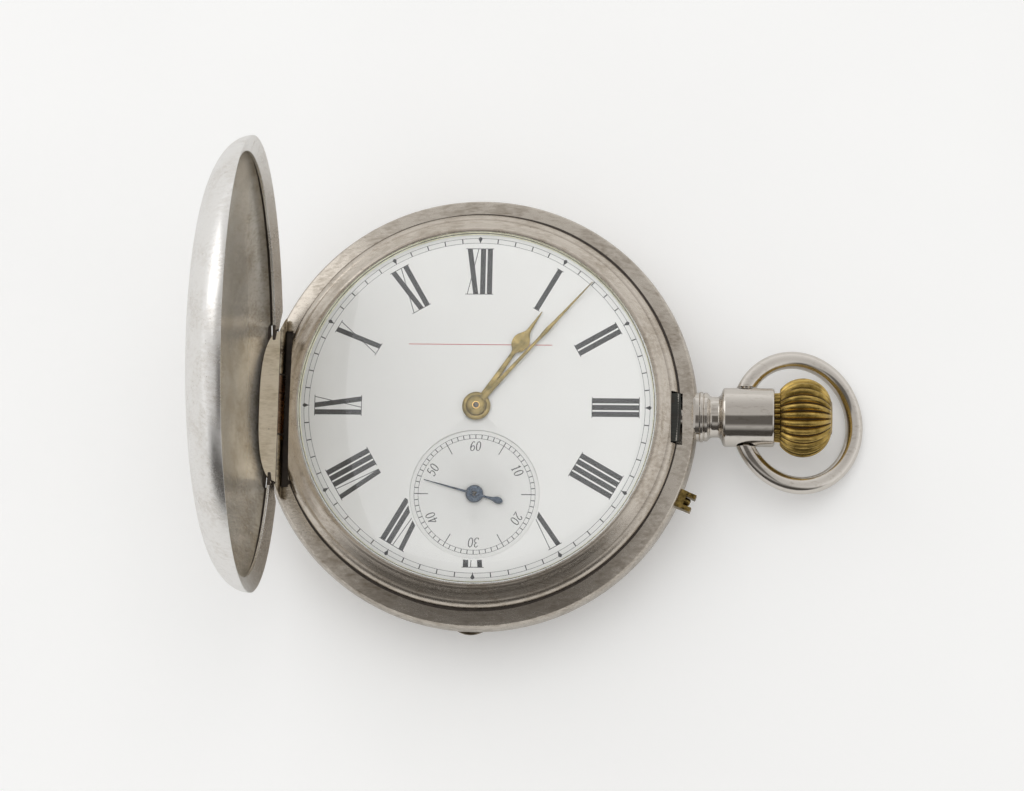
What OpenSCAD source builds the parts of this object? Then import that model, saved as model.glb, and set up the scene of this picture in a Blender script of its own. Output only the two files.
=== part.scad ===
// Full hunter pocket watch with keyless winding, its lid open at 90 degrees.
// The origin is the centre of the flat on the back. +Z goes up through the dial,
// +X to the pendant at 3 o'clock and +Y to XII. Millimetres and degrees.

/* [Case] */
// Radius of the enamel dial
dial_r = 21.9; // [21.6:0.1:22.4]
// Width of the bezel from the dial's edge to the seam with the band
bezel_w = 2.25; // [2.2:0.05:2.5]
// Width of the flange that a cover's rim closes on
flange_w = 1.69; // [1.6:0.05:2]
// Bulge of the band beyond its flanges
band_bulge = 0.56; // [0.3:0.05:0.8]
// Height of the band between its two flange edges
band_h = 4.28; // [4.2:0.05:4.6]
// Rise of a flange from its edge to the seam
flange_rise = 0.71; // [0.6:0.05:0.8]
// Height of the front lid above its flange edge
lid_h = 5.5; // [5.4:0.1:6.5]
// Depth of the back cover below its flange edge
back_h = 5.36; // [5.3:0.1:6.5]
// Wall of the lid and of the back cover
cover_wall = 0.45; // [0.35:0.05:0.5]
// Radius of the flat that the back rests on
back_flat_r = 9; // [7:0.5:10]
// Clearance between a cover's rim and its flange
rim_gap = 0.05; // [0.03:0.01:0.08]
// Wall of the dust cover
cuvette_wall = 0.35; // [0.3:0.05:0.45]
// Depth of the dust cover's dome
cuvette_h = 3.7; // [3.5:0.1:3.8]

/* [Cover joints] */
// Radius of a joint knuckle
knuckle_r = 1; // [0.9:0.05:1.05]
// Radius of the joint pins of the lid and the back
joint_pin_r = 0.4; // [0.3:0.05:0.5]
// Running clearance of a pin in its knuckle
pin_gap = 0.03; // [0.02:0.01:0.05]
// Length of the knuckle that belongs to a cover
cover_knuckle = 7.2; // [5:0.2:9]
// Length of a whole joint along its pin
joint_len = 24; // [20:0.5:24]
// Angle that the lid stands open at
lid_open = 90; // [60:5:90]

/* [Glass and dial] */
// Height of the crystal's apex above its groove
crystal_rise = 1.45; // [1.4:0.05:1.5]
// Thickness of the crystal
crystal_t = 0.5; // [0.4:0.05:0.55]
// Thickness of the enamel dial
dial_t = 0.9; // [0.7:0.05:1]
// Radius of the sunk seconds dial
sub_r = 7.7; // [7:0.1:7.9]
// Depth that the seconds dial is sunk
sub_sink = 0.25; // [0.15:0.05:0.35]
// Distance from the centre to the seconds axis
sec_off = 10.6; // [10.55:0.05:10.7]

/* [Hands] */
// Length of the minute hand from its axis
minute_len = 20.4; // [16:0.2:20.4]
// Length of the hour hand from its axis
hour_len = 13.85; // [11:0.1:15]
// Length of the seconds hand from its axis
second_len = 6.3; // [5:0.1:7]
// Thickness of the hour and minute hands
hand_t = 0.15; // [0.1:0.01:0.18]
// Clockwise angle of the minute hand from XII
minute_angle = 41.8; // [0:1:359]
// Clockwise angle of the hour hand from XII
hour_angle = 33.4; // [0:1:359]
// Clockwise angle of the seconds hand from 60
second_angle = 285.3; // [0:1:359]

/* [Pendant, bow and crown] */
// Radius of the pendant's head
head_r = 3.55; // [3.4:0.05:3.8]
// Length of the pendant's head
head_len = 6.2; // [6.1:0.1:6.8]
// Radius of the pendant's collar
collar_r = 3.05; // [2.9:0.05:3.2]
// Smallest radius of the pendant's waist
waist_r = 2.45; // [2.35:0.05:2.6]
// Radius of the bow's ring at the middle of its wire
bow_r = 7.7; // [7.4:0.1:8.2]
// Radius of the bow's wire
bow_wire_r = 1.05; // [0.8:0.05:1.1]
// Angle that the bow droops at
bow_droop = 25; // [0:1:25]
// Largest radius of the crown
crown_r = 4.75; // [4.6:0.05:5]
// Length of the crown
crown_len = 6.25; // [6.2:0.05:6.5]
// Number of ribs round the crown
crown_ribs = 26; // [16:2:32]
// Travel of the crown when it is pushed in
crown_push = 0.6; // [0.5:0.05:0.65]
// Radius of the winding stem
stem_r = 0.6; // [0.5:0.05:0.65]

/* [Lock spring and pin-set] */
// Width of the catch along the band
catch_w = 5.9; // [5:0.1:6.4]
// Reach of the catch over the lid's rim
catch_reach = 0.2; // [0.1:0.05:0.25]
// Thickness of the lock and lift springs
spring_t = 0.4; // [0.3:0.05:0.5]
// Radius of the pin-set push piece
set_pin_r = 0.45; // [0.35:0.05:0.5]
// Travel of the pin-set push piece
set_travel = 0.8; // [0.6:0.1:0.9]

/* [Movement plates] */
// Thickness of the main plate
plate_t = 1.5; // [1.3:0.1:1.6]
// Thickness of the three-quarter plate
bridge_t = 1.2; // [1.15:0.05:1.25]
// Space for the train between the plates
train_h = 3.7; // [3.7:0.05:3.8]
// Distance of the three-quarter plate's edge inside the main plate's
bridge_margin = 1.8; // [1.4:0.1:2]
// Radius of a pivot
pivot_r = 0.12; // [0.1:0.01:0.14]
// Clearance of a pivot in its jewel
pivot_gap = 0.02; // [0.01:0.01:0.03]
// Radius of a jewel
jewel_r = 0.55; // [0.45:0.05:0.6]
// Radius of the plate screws
screw_r = 0.5; // [0.4:0.05:0.55]

/* [Wheels] */
// Module of the barrel and the centre pinion
great_module = 0.22; // [0.215:0.005:0.225]
// Module of the centre wheel and the third pinion
centre_module = 0.15; // [0.148:0.001:0.152]
// Module of the third wheel and the fourth pinion
third_module = 0.135; // [0.133:0.001:0.137]
// Module of the fourth wheel and the escape pinion
fourth_module = 0.12; // [0.118:0.001:0.121]
// Tip radius of the escape wheel
escape_r = 3.2; // [3.1:0.05:3.3]
// Outer radius of the balance rim
balance_r = 7.4; // [7:0.1:7.5]
// Number of turns of the hairspring
hair_turns = 7; // [5:1:9]
// Number of coils of the mainspring
main_turns = 8; // [6:1:10]

/* [Hidden] */
$fn = 96;
eps = 0.01;

// Radii of the case, from the dial outwards
seam_r = dial_r + bezel_w;
flange_r = seam_r + flange_w;
band_r = flange_r + band_bulge;
cover_r = flange_r + 0.15;
rim_in_r = seam_r + rim_gap;
rim_t = 0.4;

// Heights of the case, from the back's flat upwards
mid_z = back_h + band_h / 2;
flange_z = mid_z + band_h / 2;
seam_z = flange_z + flange_rise;
joint_x = -(flange_r - 1.49);
joint_dz = band_h / 2 + 0.56;

// Heights of the movement
plate_z = mid_z + 1.2;
plate_top = plate_z + plate_t;
bridge_top = plate_z - train_h;
bridge_z = bridge_top - bridge_t;
dial_z = plate_top + 1.1;
dial_top = dial_z + dial_t;
groove_z = dial_top + 0.35;
neck_z = seam_z + 0.65;
pend_z = mid_z - 0.2;

// The main plate is carried on a ledge of the band
plate_r = dial_r + 0.3;
bridge_r = plate_r - bridge_margin;
ledge_r = plate_r + 0.1;
plate_flange_r = plate_r + 0.6;
ledge_z = plate_top - 0.6;
channel_r = flange_r - 0.54;
channel_h = 0.9;
channel_low = 1.35;

// Superellipse dome from its rim at z = 0 up to its apex at height h
function dome(r, h, power, count, last = 90, first = 0) =
    [for (i = [0:count]) let (t = last + (first - last) * i / count)
        [r * pow(sin(t), 2 / power), h * cos(t) / cos(first)]];
function flip(points) = [for (i = [len(points) - 1:-1:0]) points[i]];
function polar(r, a) = r * [cos(a), sin(a)];
function clockwise(a) = 90 - a;

// Gear outline: a tooth's middle lies at angle 0
function gear_points(teeth, pitch_r, add, ded, root, tip) =
    [for (i = [0:teeth - 1], k = [[-root, -ded], [-tip, add], [tip, add], [root, -ded]])
        polar(pitch_r + k[1], (i + k[0]) * 360 / teeth)];

// Phase of gear b, in direction beta from gear a, that puts the two in mesh
function mesh_phase(phase_a, teeth_a, teeth_b, beta) =
    beta + 180 - (phase_a - beta) * teeth_a / teeth_b + 180 / teeth_b;

// Point at distance ra from a and rb from b, to the left of the line from a to b
function meet(a, ra, b, rb) =
    let (
        d = norm(b - a),
        along = (d * d + ra * ra - rb * rb) / (2 * d),
        side = sqrt(ra * ra - along * along),
        u = (b - a) / d
    ) a + along * u + side * [-u[1], u[0]];
function direction(a, b) = atan2(b[1] - a[1], b[0] - a[0]);

module at(p, z = 0) {
    translate([p[0], p[1], z]) children();
}

module disc(r, z0, z1) {
    translate([0, 0, z0]) cylinder(r = r, h = z1 - z0);
}

module ring(r_in, r_out, z0, z1) {
    difference() {
        disc(r_out, z0, z1);
        disc(r_in, z0 - eps, z1 + eps);
    }
}

module block(x0, x1, y0, y1, z0, z1) {
    translate([x0, y0, z0]) cube([x1 - x0, y1 - y0, z1 - z0]);
}

module revolve(points) {
    rotate_extrude() polygon(points);
}

// Cylinder along Y, from y0 to y1
module rod(r, y0, y1) {
    translate([0, y1, 0]) rotate([90, 0, 0]) cylinder(r = r, h = y1 - y0);
}

// Shape at the front of the case and its mirror image at the back
module both_sides() {
    children();
    back_side() children();
}

module back_side() {
    translate([0, 0, 2 * mid_z]) mirror([0, 0, 1]) children();
}

module at_joint() {
    translate([joint_x, 0, joint_z]) children();
}

joint_z = mid_z + joint_dz;
knuckle_y0 = 0.35 - cover_knuckle / 2;
knuckle_y1 = 0.35 + cover_knuckle / 2;
knuckle_gap = 0.05;
strap_x = joint_x + knuckle_r + 0.2;
strap_t = 0.35;
strap_half = 9.25;
flat_x = strap_x + strap_t + 0.3;
relief_r = knuckle_r + 0.7;
low_flange_z = mid_z - band_h / 2;
low_seam_z = 2 * mid_z - seam_z;
cuvette_r = seam_r - 0.25;
cuvette_seat_z = low_seam_z + 0.5;
cuvette_joint_x = flat_x + 0.7;
cuvette_joint_z = cuvette_seat_z - 0.4;
cuvette_knuckle_r = 0.5;
cuvette_pin_r = 0.2;
cuvette_in_r = plate_r + 0.75;
lip_angle = -91.5;
lip_w = 3.4;
cuvette_lip_angle = -136;
cuvette_lip_w = 3;
catch_mid = -0.85;
catch_r = seam_r + rim_gap + catch_reach;
catch_in_r = seam_r - 1.05;
catch_z = seam_z + 0.48;
lock_foot = 36;
lift_foot = 108;
set_angle = -22.8;
set_z = mid_z + 0.7;
neck_r = seam_r - 0.65;
spigot_r = 1.6;
spigot_x = channel_r - 0.3;

// Outside of the band from the top flange's edge down to the bottom one
function band_bulge_points() =
    [for (a = [90:-15:-90]) [flange_r + band_bulge * cos(a), mid_z + band_h / 2 * sin(a)]];

// All that lies within the band's outside and within the closed covers
module band_core() {
    revolve(concat([[0, 2 * mid_z], [cover_r + 0.12, 2 * mid_z], [cover_r + 0.12, flange_z]],
        band_bulge_points(), [[cover_r + 0.12, low_flange_z], [cover_r + 0.12, 0], [0, 0]]));
}

// Radial section of the band
module band_section() {
    polygon(concat(band_bulge_points(), [
        [seam_r, low_seam_z],
        [cuvette_r + 0.1, low_seam_z],
        [cuvette_r + 0.1, cuvette_seat_z],
        [ledge_r + 0.5, cuvette_seat_z],
        [ledge_r + 0.5, mid_z - channel_low],
        [channel_r, mid_z - channel_low],
        [channel_r, mid_z + channel_h],
        [ledge_r + 1, mid_z + channel_h],
        [ledge_r + 1, plate_z],
        [ledge_r, plate_z],
        [ledge_r, ledge_z],
        [plate_flange_r + 0.1, ledge_z],
        [plate_flange_r + 0.1, neck_z],
        [neck_r, neck_z],
        [neck_r, seam_z],
        [seam_r, seam_z]
    ]));
}

// Room in the band for a cover's knuckle, strap and swinging edge
module joint_room() {
    at_joint() rod(knuckle_r + 0.06, knuckle_y0 - knuckle_gap, knuckle_y1 + knuckle_gap);
    intersection() {
        at_joint() rod(relief_r, -strap_half - 0.35, strap_half + 0.35);
        block(joint_x - 3, joint_x, -joint_len, joint_len, mid_z, neck_z + 3);
    }
    block(joint_x, flat_x - 0.1, -strap_half - 0.35, strap_half + 0.35, joint_z - 0.5, neck_z + 1);
    // Flat that the open cover's dome lies against
    block(joint_x - 3, joint_x - 1.2, -4, 4, joint_z - 1.05, neck_z);
}

// The band's two knuckles, filed flush with the outline of the case
module band_knuckles() {
    intersection() {
        at_joint() difference() {
            union() {
                rod(knuckle_r, -joint_len / 2, knuckle_y0 - knuckle_gap);
                rod(knuckle_r, knuckle_y1 + knuckle_gap, joint_len / 2);
            }
            rod(joint_pin_r, -joint_len, joint_len);
        }
        disc(flange_r + 0.06, 0, 2 * mid_z);
    }
}

// Ears that carry the dust cover's pin
module cuvette_ears() {
    for (side = [-1, 1]) translate([0, side * 3.3, 0]) difference() {
        union() {
            translate([cuvette_joint_x, 0, cuvette_joint_z]) rod(cuvette_knuckle_r, -1.2, 1.2);
            block(cuvette_joint_x - 0.65, cuvette_joint_x + 0.3, -1.2, 1.2, cuvette_joint_z,
                cuvette_seat_z + 0.8);
            block(strap_x - 0.1, cuvette_joint_x + 0.3, -1.2, 1.2, cuvette_seat_z + 0.25,
                cuvette_seat_z + 0.8);
        }
        translate([cuvette_joint_x, 0, cuvette_joint_z]) rod(cuvette_pin_r, -2, 2);
    }
}

// Holes for the lock and lift spring screws
module spring_screw_sites() {
    for (a = [lock_foot, lift_foot]) rotate([0, 0, a]) translate([channel_r, 0, mid_z]) rotate([0, 90, 0]) children();
}

module case_middle() {
    color("silver") {
        difference() {
            rotate_extrude() band_section();
            both_sides() joint_room();
            // Hole for the pendant's spigot
            translate([spigot_x, 0, pend_z]) rotate([0, 90, 0]) cylinder(r = spigot_r, h = 3);
            // Slot for the catch and notch in the bezel's neck
            block(ledge_r - 0.6, catch_r + 0.15, catch_mid - catch_w / 2 - 0.2,
                catch_mid + catch_w / 2 + 0.15, mid_z, neck_z + 1);
            // Hole for the pin-set push piece
            rotate([0, 0, set_angle]) translate([channel_r - 3, 0, set_z]) rotate([0, 90, 0])
                cylinder(r = set_pin_r + pin_gap, h = 6);
            // Notch for the dust cover's lip
            rotate([0, 0, cuvette_lip_angle]) block(ledge_r + 0.6, band_r + 1,
                -cuvette_lip_w / 2 - 0.15, cuvette_lip_w / 2 + 0.15, 0, cuvette_seat_z + 0.6);
            spring_screw_sites() translate([0, 0, -0.5]) cylinder(r = screw_r * 0.8, h = 1.1);
        }
        both_sides() band_knuckles();
        cuvette_ears();
    }
}

// Closed cover over its flange: a domed shell with an inward rim. z = 0 is the flange's edge.
module cover_shell(h, power, flat) {
    rim_z = flange_rise * (flange_r - rim_in_r) / flange_w + rim_gap;
    start = asin(pow(flat / cover_r, power / 2));
    outer = concat(dome(cover_r, h, power, 16, 90, start), flat > 0 ? [[0, h]] : []);
    inner = dome(cover_r - cover_wall, h - cover_wall, power, 16, 77);
    revolve(concat(outer, flip(inner), [[rim_in_r, rim_z + rim_t], [rim_in_r, rim_z]]));
}

// A cover with its joint: the rim is cut away round the barrel and a strap carries the knuckle
module jointed_cover(h, power, flat) {
    joint_up = joint_z - flange_z;
    difference() {
        union() {
            difference() {
                cover_shell(h, power, flat);
                block(-cover_r - 1, strap_x, -joint_len / 2 - 0.1, joint_len / 2 + 0.1, -1,
                    joint_up + knuckle_r + 0.1);
            }
            intersection() {
                block(strap_x, strap_x + strap_t, -strap_half, strap_half, joint_up - 0.4, h);
                revolve(concat(dome(cover_r - cover_wall / 2, h - cover_wall / 2, power, 16), [[0, 0]]));
            }
            translate([joint_x, 0, joint_up]) rod(knuckle_r, knuckle_y0, knuckle_y1);
            block(joint_x, strap_x + 0.1, knuckle_y0, knuckle_y1, joint_up - 0.3, joint_up + 0.8);
        }
        translate([joint_x, 0, joint_up]) rod(joint_pin_r + pin_gap, -joint_len, joint_len);
    }
}

module front_lid() {
    color("silver") at_joint() rotate([0, -lid_open, 0]) translate([-joint_x, 0, flange_z - joint_z])
        jointed_cover(lid_h, 5, 0);
}

module back_cover() {
    color("silver") back_side() translate([0, 0, flange_z]) {
        jointed_cover(back_h, 4, back_flat_r);
        // Thumb lip at the edge
        rotate([0, 0, lip_angle]) difference() {
            block(cover_r - 0.4, band_r + 0.1, -lip_w / 2, lip_w / 2, 0.05, 0.45);
            disc(cover_r - cover_wall / 2, -1, 1);
        }
    }
}

module joint_pin() {
    color("dimgray") intersection() {
        at_joint() rod(joint_pin_r, -joint_len / 2, joint_len / 2);
        disc(flange_r + 0.06, 0, 2 * mid_z);
    }
}

module front_joint_pin() {
    joint_pin();
}

module back_joint_pin() {
    back_side() joint_pin();
}

// Dust cover: a shallow dome cut straight at its joint
module cuvette() {
    plate_x = cuvette_joint_x + cuvette_knuckle_r + 0.05;
    rim_z = cuvette_seat_z - 0.05;
    color("gainsboro") {
        difference() {
            union() {
                translate([0, 0, rim_z]) mirror([0, 0, 1]) {
                    difference() {
                        revolve(concat(dome(cuvette_r, cuvette_h, 4, 16),
                            flip(dome(cuvette_r - cuvette_wall, cuvette_h - cuvette_wall, 4, 16, 85)),
                            [[cuvette_in_r, 0.35], [cuvette_in_r, 0]]));
                        block(-cuvette_r - 1, plate_x, -cuvette_r, cuvette_r, -1, cuvette_h + 1);
                    }
                    intersection() {
                        block(plate_x, plate_x + cuvette_wall, -cuvette_r, cuvette_r, 0.1, cuvette_h);
                        revolve(concat(dome(cuvette_r - cuvette_wall / 2, cuvette_h - cuvette_wall / 2,
                            4, 16), [[0, 0]]));
                    }
                }
                translate([cuvette_joint_x, 0, cuvette_joint_z]) rod(cuvette_knuckle_r, -2, 2);
                block(cuvette_joint_x, plate_x + 0.1, -2, 2, cuvette_joint_z - 0.4, cuvette_joint_z + 0.3);
            }
            translate([cuvette_joint_x, 0, cuvette_joint_z]) rod(cuvette_pin_r + pin_gap, -3, 3);
        }
        // Thumb lip that shows past the band
        rotate([0, 0, cuvette_lip_angle]) {
            block(cuvette_r - 0.5, cuvette_r, -cuvette_lip_w / 2, cuvette_lip_w / 2, rim_z - 0.3,
                cuvette_seat_z + 0.5);
            block(cuvette_r - 0.5, band_r - 0.1, -cuvette_lip_w / 2, cuvette_lip_w / 2,
                cuvette_seat_z + 0.25, cuvette_seat_z + 0.5);
        }
    }
}

module cuvette_joint_pin() {
    color("dimgray") translate([cuvette_joint_x, 0, cuvette_joint_z]) rod(cuvette_pin_r, -4.5, 4.5);
}

// Bezel: snaps over the band's neck and holds the crystal in a groove
module bezel() {
    color("silver") difference() {
        revolve([
            [seam_r - 0.05, seam_z + 0.05],
            [seam_r - 0.12, seam_z + 0.55],
            [seam_r - 0.4, seam_z + 1.05],
            [dial_r + 1.3, seam_z + 1.45],
            [dial_r + 0.75, seam_z + 1.75],
            [dial_r + 0.6, seam_z + 1.95],
            [dial_r, groove_z + 0.38],
            [dial_r - 0.3, groove_z + 0.45],
            [dial_r - 0.4, groove_z + 0.4],
            [dial_r - 0.4, groove_z + 0.22],
            [dial_r - 0.1, groove_z + 0.22],
            [dial_r - 0.1, groove_z],
            [dial_r - 0.4, groove_z],
            [dial_r - 0.4, groove_z - 0.2],
            [dial_r + 0.1, groove_z - 0.3],
            [dial_r + 0.1, neck_z + 0.05],
            [neck_r + 0.05, neck_z + 0.05],
            [neck_r + 0.05, seam_z + 0.05]
        ]);
        // Flat that clears the lid's strap
        block(-seam_r - 1, flat_x, -joint_len, joint_len, seam_z, dial_top + 3);
        // Notch for the catch
        block(catch_in_r - 0.8, seam_r + 1, catch_mid - catch_w / 2 - 0.2,
            catch_mid + catch_w / 2 + 0.15, seam_z, catch_z + 0.6);
    }
}

module crystal() {
    edge_r = dial_r - 0.12;
    inner_h = crystal_rise + 0.2 - crystal_t;
    color("azure", 0.3) translate([0, 0, groove_z + 0.01]) revolve(concat(
        [[edge_r, 0], [edge_r, 0.2]],
        [for (p = dome(edge_r - 0.3, crystal_rise, 6, 16)) [p[0], p[1] + 0.2]],
        flip(dome(edge_r - 0.6, inner_h, 6, 16))
    ));
}

// Strip of spring along the band, from angle a0 to a1
module strip(r, t, a0, a1, z0, z1) {
    rotate([0, 0, a0]) rotate_extrude(angle = a1 - a0) translate([r, z0]) square([t, z1 - z0]);
}

// Bar curved about the dial's axis at 3 o'clock, cut off straight at y0 and y1
module curved_bar(r0, r1, y0, y1, z0, z1) {
    intersection() {
        strip(r0, r1 - r0, -20, 20, z0, z1);
        block(0, band_r, y0, y1, z0 - 1, z1 + 1);
    }
}

spring_half = channel_h - 0.15;
spring_out_r = channel_r - 1.3;
spring_in_r = spring_out_r - spring_t;

// Foot of a spring, drilled for its screw
module spring_foot(a) {
    difference() {
        strip(spring_in_r - 0.05, channel_r - 0.05 - spring_in_r, a - 3, a + 3, mid_z - spring_half,
            mid_z + spring_half);
        rotate([0, 0, a]) translate([spring_in_r - 1, 0, mid_z]) rotate([0, 90, 0])
            cylinder(r = screw_r * 0.8 + 0.1, h = 4);
    }
}

module lock_spring() {
    y0 = catch_mid - catch_w / 2;
    y1 = catch_mid + catch_w / 2;
    catch_top = catch_z + 0.37;
    column_z = pend_z + stem_r + 0.2;
    color("slategray") {
        strip(spring_in_r, spring_t, 3.6, lock_foot - 2.9, mid_z - spring_half, mid_z + spring_half);
        spring_foot(lock_foot);
        // Column that rises through the slot, and the hook on its top
        curved_bar(spring_in_r - 0.3, spring_out_r - 0.05, y0, y1, column_z, catch_z + 0.1);
        curved_bar(catch_in_r, catch_r, y0, y1, catch_z, catch_top);
        // Leg that joins the column to the strip beside the stem
        curved_bar(spring_in_r - 0.3, spring_out_r - 0.05, y1 - 0.9, y1, mid_z - spring_half + 0.05,
            column_z + 0.2);
    }
}

module lift_spring() {
    color("slategray") {
        strip(spring_in_r, spring_t, lift_foot + 2.9, lift_foot + 60, mid_z - spring_half,
            mid_z + spring_half);
        spring_foot(lift_foot);
    }
}

module case_spring_screws() {
    color("steelblue") spring_screw_sites() {
        difference() {
            translate([0, 0, spring_in_r - channel_r - 0.55]) cylinder(r = screw_r * 1.7, h = 0.4);
            translate([-0.1, -2, spring_in_r - channel_r - 0.6]) cube([0.2, 4, 0.25]);
        }
        translate([0, 0, spring_in_r - channel_r - 0.2]) cylinder(r = screw_r * 0.8, h =
            channel_r - spring_in_r + 0.75);
    }
}

// Stations along the pendant
head_x = band_r + 2.95;
head_end = head_x + head_len;
crown_x = head_end + crown_push + 0.05;
bow_x = head_x + 2.8;
crown_neck_r = 2.2;
bow_pin_r = 0.6;
bow_gap_y = head_r + 0.1;
bow_u = sqrt(bow_r * bow_r - bow_gap_y * bow_gap_y);
rib_arc_r = 3.45;
rib_x = 2.75;
rib_groove_r = 0.24;

// Solid turned about the pendant's axis from [radius, x] points
module lathe_x(points) {
    translate([0, 0, pend_z]) rotate([0, 90, 0]) revolve(points);
}

module rod_x(r, x0, x1) {
    translate([x0, 0, pend_z]) rotate([0, 90, 0]) cylinder(r = r, h = x1 - x0);
}

module pendant() {
    color("silver") difference() {
        union() {
            difference() {
                lathe_x(concat(
                    [[0, band_r - 1], [collar_r - 0.1, band_r - 1], [collar_r - 0.1, band_r + 0.12],
                    [collar_r, band_r + 0.25], [collar_r, band_r + 0.55], [collar_r - 0.2, band_r + 0.65],
                    [collar_r - 0.1, band_r + 0.75], [collar_r - 0.1, band_r + 1.1],
                    [collar_r - 0.3, band_r + 1.25]],
                    [for (i = [0:8]) let (t = i / 8)
                        [waist_r + 1.1 * pow(2 * t - 1, 4) * (t > 0.5 ? 0.75 : 0.25),
                        band_r + 1.3 + t * 1.6]],
                    [[head_r - 0.1, head_x + 0.08], [head_r, head_x + 0.3], [head_r, head_end - 0.25],
                    [head_r - 0.08, head_end - 0.08], [head_r - 0.3, head_end], [0, head_end]]
                ));
                band_core();
            }
            rod_x(spigot_r, spigot_x, band_r + 0.3);
        }
        rod_x(stem_r + 0.1, spigot_x - 1, head_end + 1);
        rod_x(crown_neck_r + 0.1, head_end - 1.55, head_end + 1);
        for (side = [-1, 1]) translate([bow_x, side * (head_r - 0.35), pend_z])
            rod(bow_pin_r + 0.05, -0.65, 0.65);
    }
}

module bow() {
    color("silver") translate([bow_x, 0, pend_z]) rotate([0, bow_droop, 0]) {
        difference() {
            translate([bow_u, 0, 0]) rotate_extrude() translate([bow_r, 0]) circle(bow_wire_r, $fn = 48);
            block(-bow_r, bow_u, -bow_gap_y, bow_gap_y, -2, 2);
        }
        for (side = [-1, 1]) translate([0, side * (bow_gap_y - 0.3), 0]) rod(bow_pin_r, -0.6, 0.6);
    }
}

module crown() {
    rib_r = crown_r - rib_arc_r;
    start = acos(-rib_x / rib_arc_r);
    end = asin((2 - rib_r) / rib_arc_r);
    color("darkgoldenrod") difference() {
        union() {
            lathe_x(concat(
                [[0, crown_x]],
                [for (i = [0:16]) let (a = start + (end - start) * i / 16)
                    [rib_r + rib_arc_r * sin(a), crown_x + rib_x + rib_arc_r * cos(a)]],
                [[1.9, crown_x + crown_len], [0, crown_x + crown_len]]
            ));
            rod_x(crown_neck_r, crown_x - 1.45, crown_x + 0.5);
        }
        for (i = [0:crown_ribs - 1]) translate([0, 0, pend_z]) rotate([i * 360 / crown_ribs, 0, 0])
            translate([crown_x + rib_x, rib_r, 0]) rotate([0, 0, end - 4])
            rotate_extrude(angle = start - end + 12) translate([rib_arc_r + 0.1, 0])
            circle(rib_groove_r, $fn = 20);
        rod_x(stem_r, crown_x - 2, crown_x + 2);
    }
}

// Winding: the stem's square slides in the winding pinion, which turns the crown wheel
crown_wheel_teeth = 20;
ratchet_teeth = 24;
pinion_teeth = 12;
wind_module = 0.458;
wind_add = 0.3;
wind_ded = 0.5;
wind_pinion_x = plate_r - 2.5;
wind_pinion_w = 1.5;
stem_square = 0.85;

module winding_stem() {
    color("slategray") {
        rod_x(stem_r, wind_pinion_x + wind_pinion_w + 0.7, crown_x + 2);
        translate([wind_pinion_x - 0.4, -stem_square / 2, pend_z - stem_square / 2])
            cube([wind_pinion_w + 1.2, stem_square, stem_square]);
        rod_x(stem_r + 0.4, spring_out_r + 0.4, spring_out_r + 0.8);
    }
}

module winding_pinion() {
    color("slategray") translate([wind_pinion_x, 0, pend_z]) rotate([0, 90, 0]) difference() {
        linear_extrude(wind_pinion_w) polygon(gear_points(pinion_teeth, wind_module * pinion_teeth / 2,
            wind_add, wind_ded, 0.24, 0.14));
        translate([-stem_square / 2 - pin_gap, -stem_square / 2 - pin_gap, -1])
            cube([stem_square + 2 * pin_gap, stem_square + 2 * pin_gap, wind_pinion_w + 2]);
    }
}

// Pin-set: pushed in, it swings the setting lever on its stud
set_in_r = plate_r - 0.95;
set_out_r = band_r + 1.3;
lever_stud = [15.5, -4.5];
lever_stud_r = 0.42;
lever_z = set_z - 0.3;

module at_set_pin() {
    rotate([0, 0, set_angle]) children();
}

module set_pin() {
    color("goldenrod") at_set_pin() translate([set_in_r, 0, set_z]) rotate([0, 90, 0])
        cylinder(r = set_pin_r, h = set_out_r - set_in_r);
}

module set_pin_guard() {
    color("goldenrod") at_set_pin() difference() {
        union() {
            block(band_r - 0.5, band_r + 0.6, -1.1, 1.1, set_z - 0.8, set_z + 0.8);
            for (side = [-1, 1]) translate([0, side * 0.82, 0])
                block(band_r + 0.5, band_r + 1.7, -0.28, 0.28, set_z - 0.7, set_z + 0.7);
        }
        band_core();
        translate([band_r - 2, 0, set_z]) rotate([0, 90, 0]) cylinder(r = set_pin_r + pin_gap, h = 6);
    }
}

module setting_lever() {
    pad_x = set_in_r - 0.1;
    color("slategray") at_set_pin() difference() {
        union() {
            at(lever_stud) disc(1, lever_z, lever_z + 0.6);
            translate([0, 0, lever_z]) linear_extrude(0.6) polygon([
                lever_stud + [0.2, -0.9], [pad_x, -1.3], [pad_x, 1.3], [pad_x - 0.7, 1.3],
                lever_stud + [-0.4, 0.8]
            ]);
        }
        at(lever_stud) disc(lever_stud_r + pin_gap, 0, 2 * mid_z);
    }
}

module dial() {
    color("ivory") difference() {
        disc(dial_r, dial_z, dial_top);
        disc(hour_pipe_r + 0.15, 0, dial_top + 1);
        at([0, -sec_off]) disc(sub_r, 0, dial_top + 1);
    }
}

module seconds_dial() {
    color("ivory") at([0, -sec_off]) ring(sec_arbor_r + 0.2, sub_r - 0.01, dial_z, dial_top - sub_sink);
}

// Radii of the arbor and pipes that carry the hands, and the heights of the hands
centre_arbor_r = 0.45;
cannon_r = 0.75;
hour_pipe_r = 1.1;
sec_arbor_r = 0.2;
hour_hand_z = dial_top + 0.35;
minute_hand_z = dial_top + 0.65;
second_hand_z = dial_top + 0.02;
hour_boss_r = 1.7;
minute_boss_r = 1.17;

// Outline of a hand from [distance, half width] pairs
module hand(pairs, boss_r, bore_r, t) {
    linear_extrude(t) difference() {
        union() {
            polygon(concat(pairs, flip([for (p = pairs) [p[0], -p[1]]])));
            circle(boss_r);
        }
        circle(bore_r);
    }
}

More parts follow.
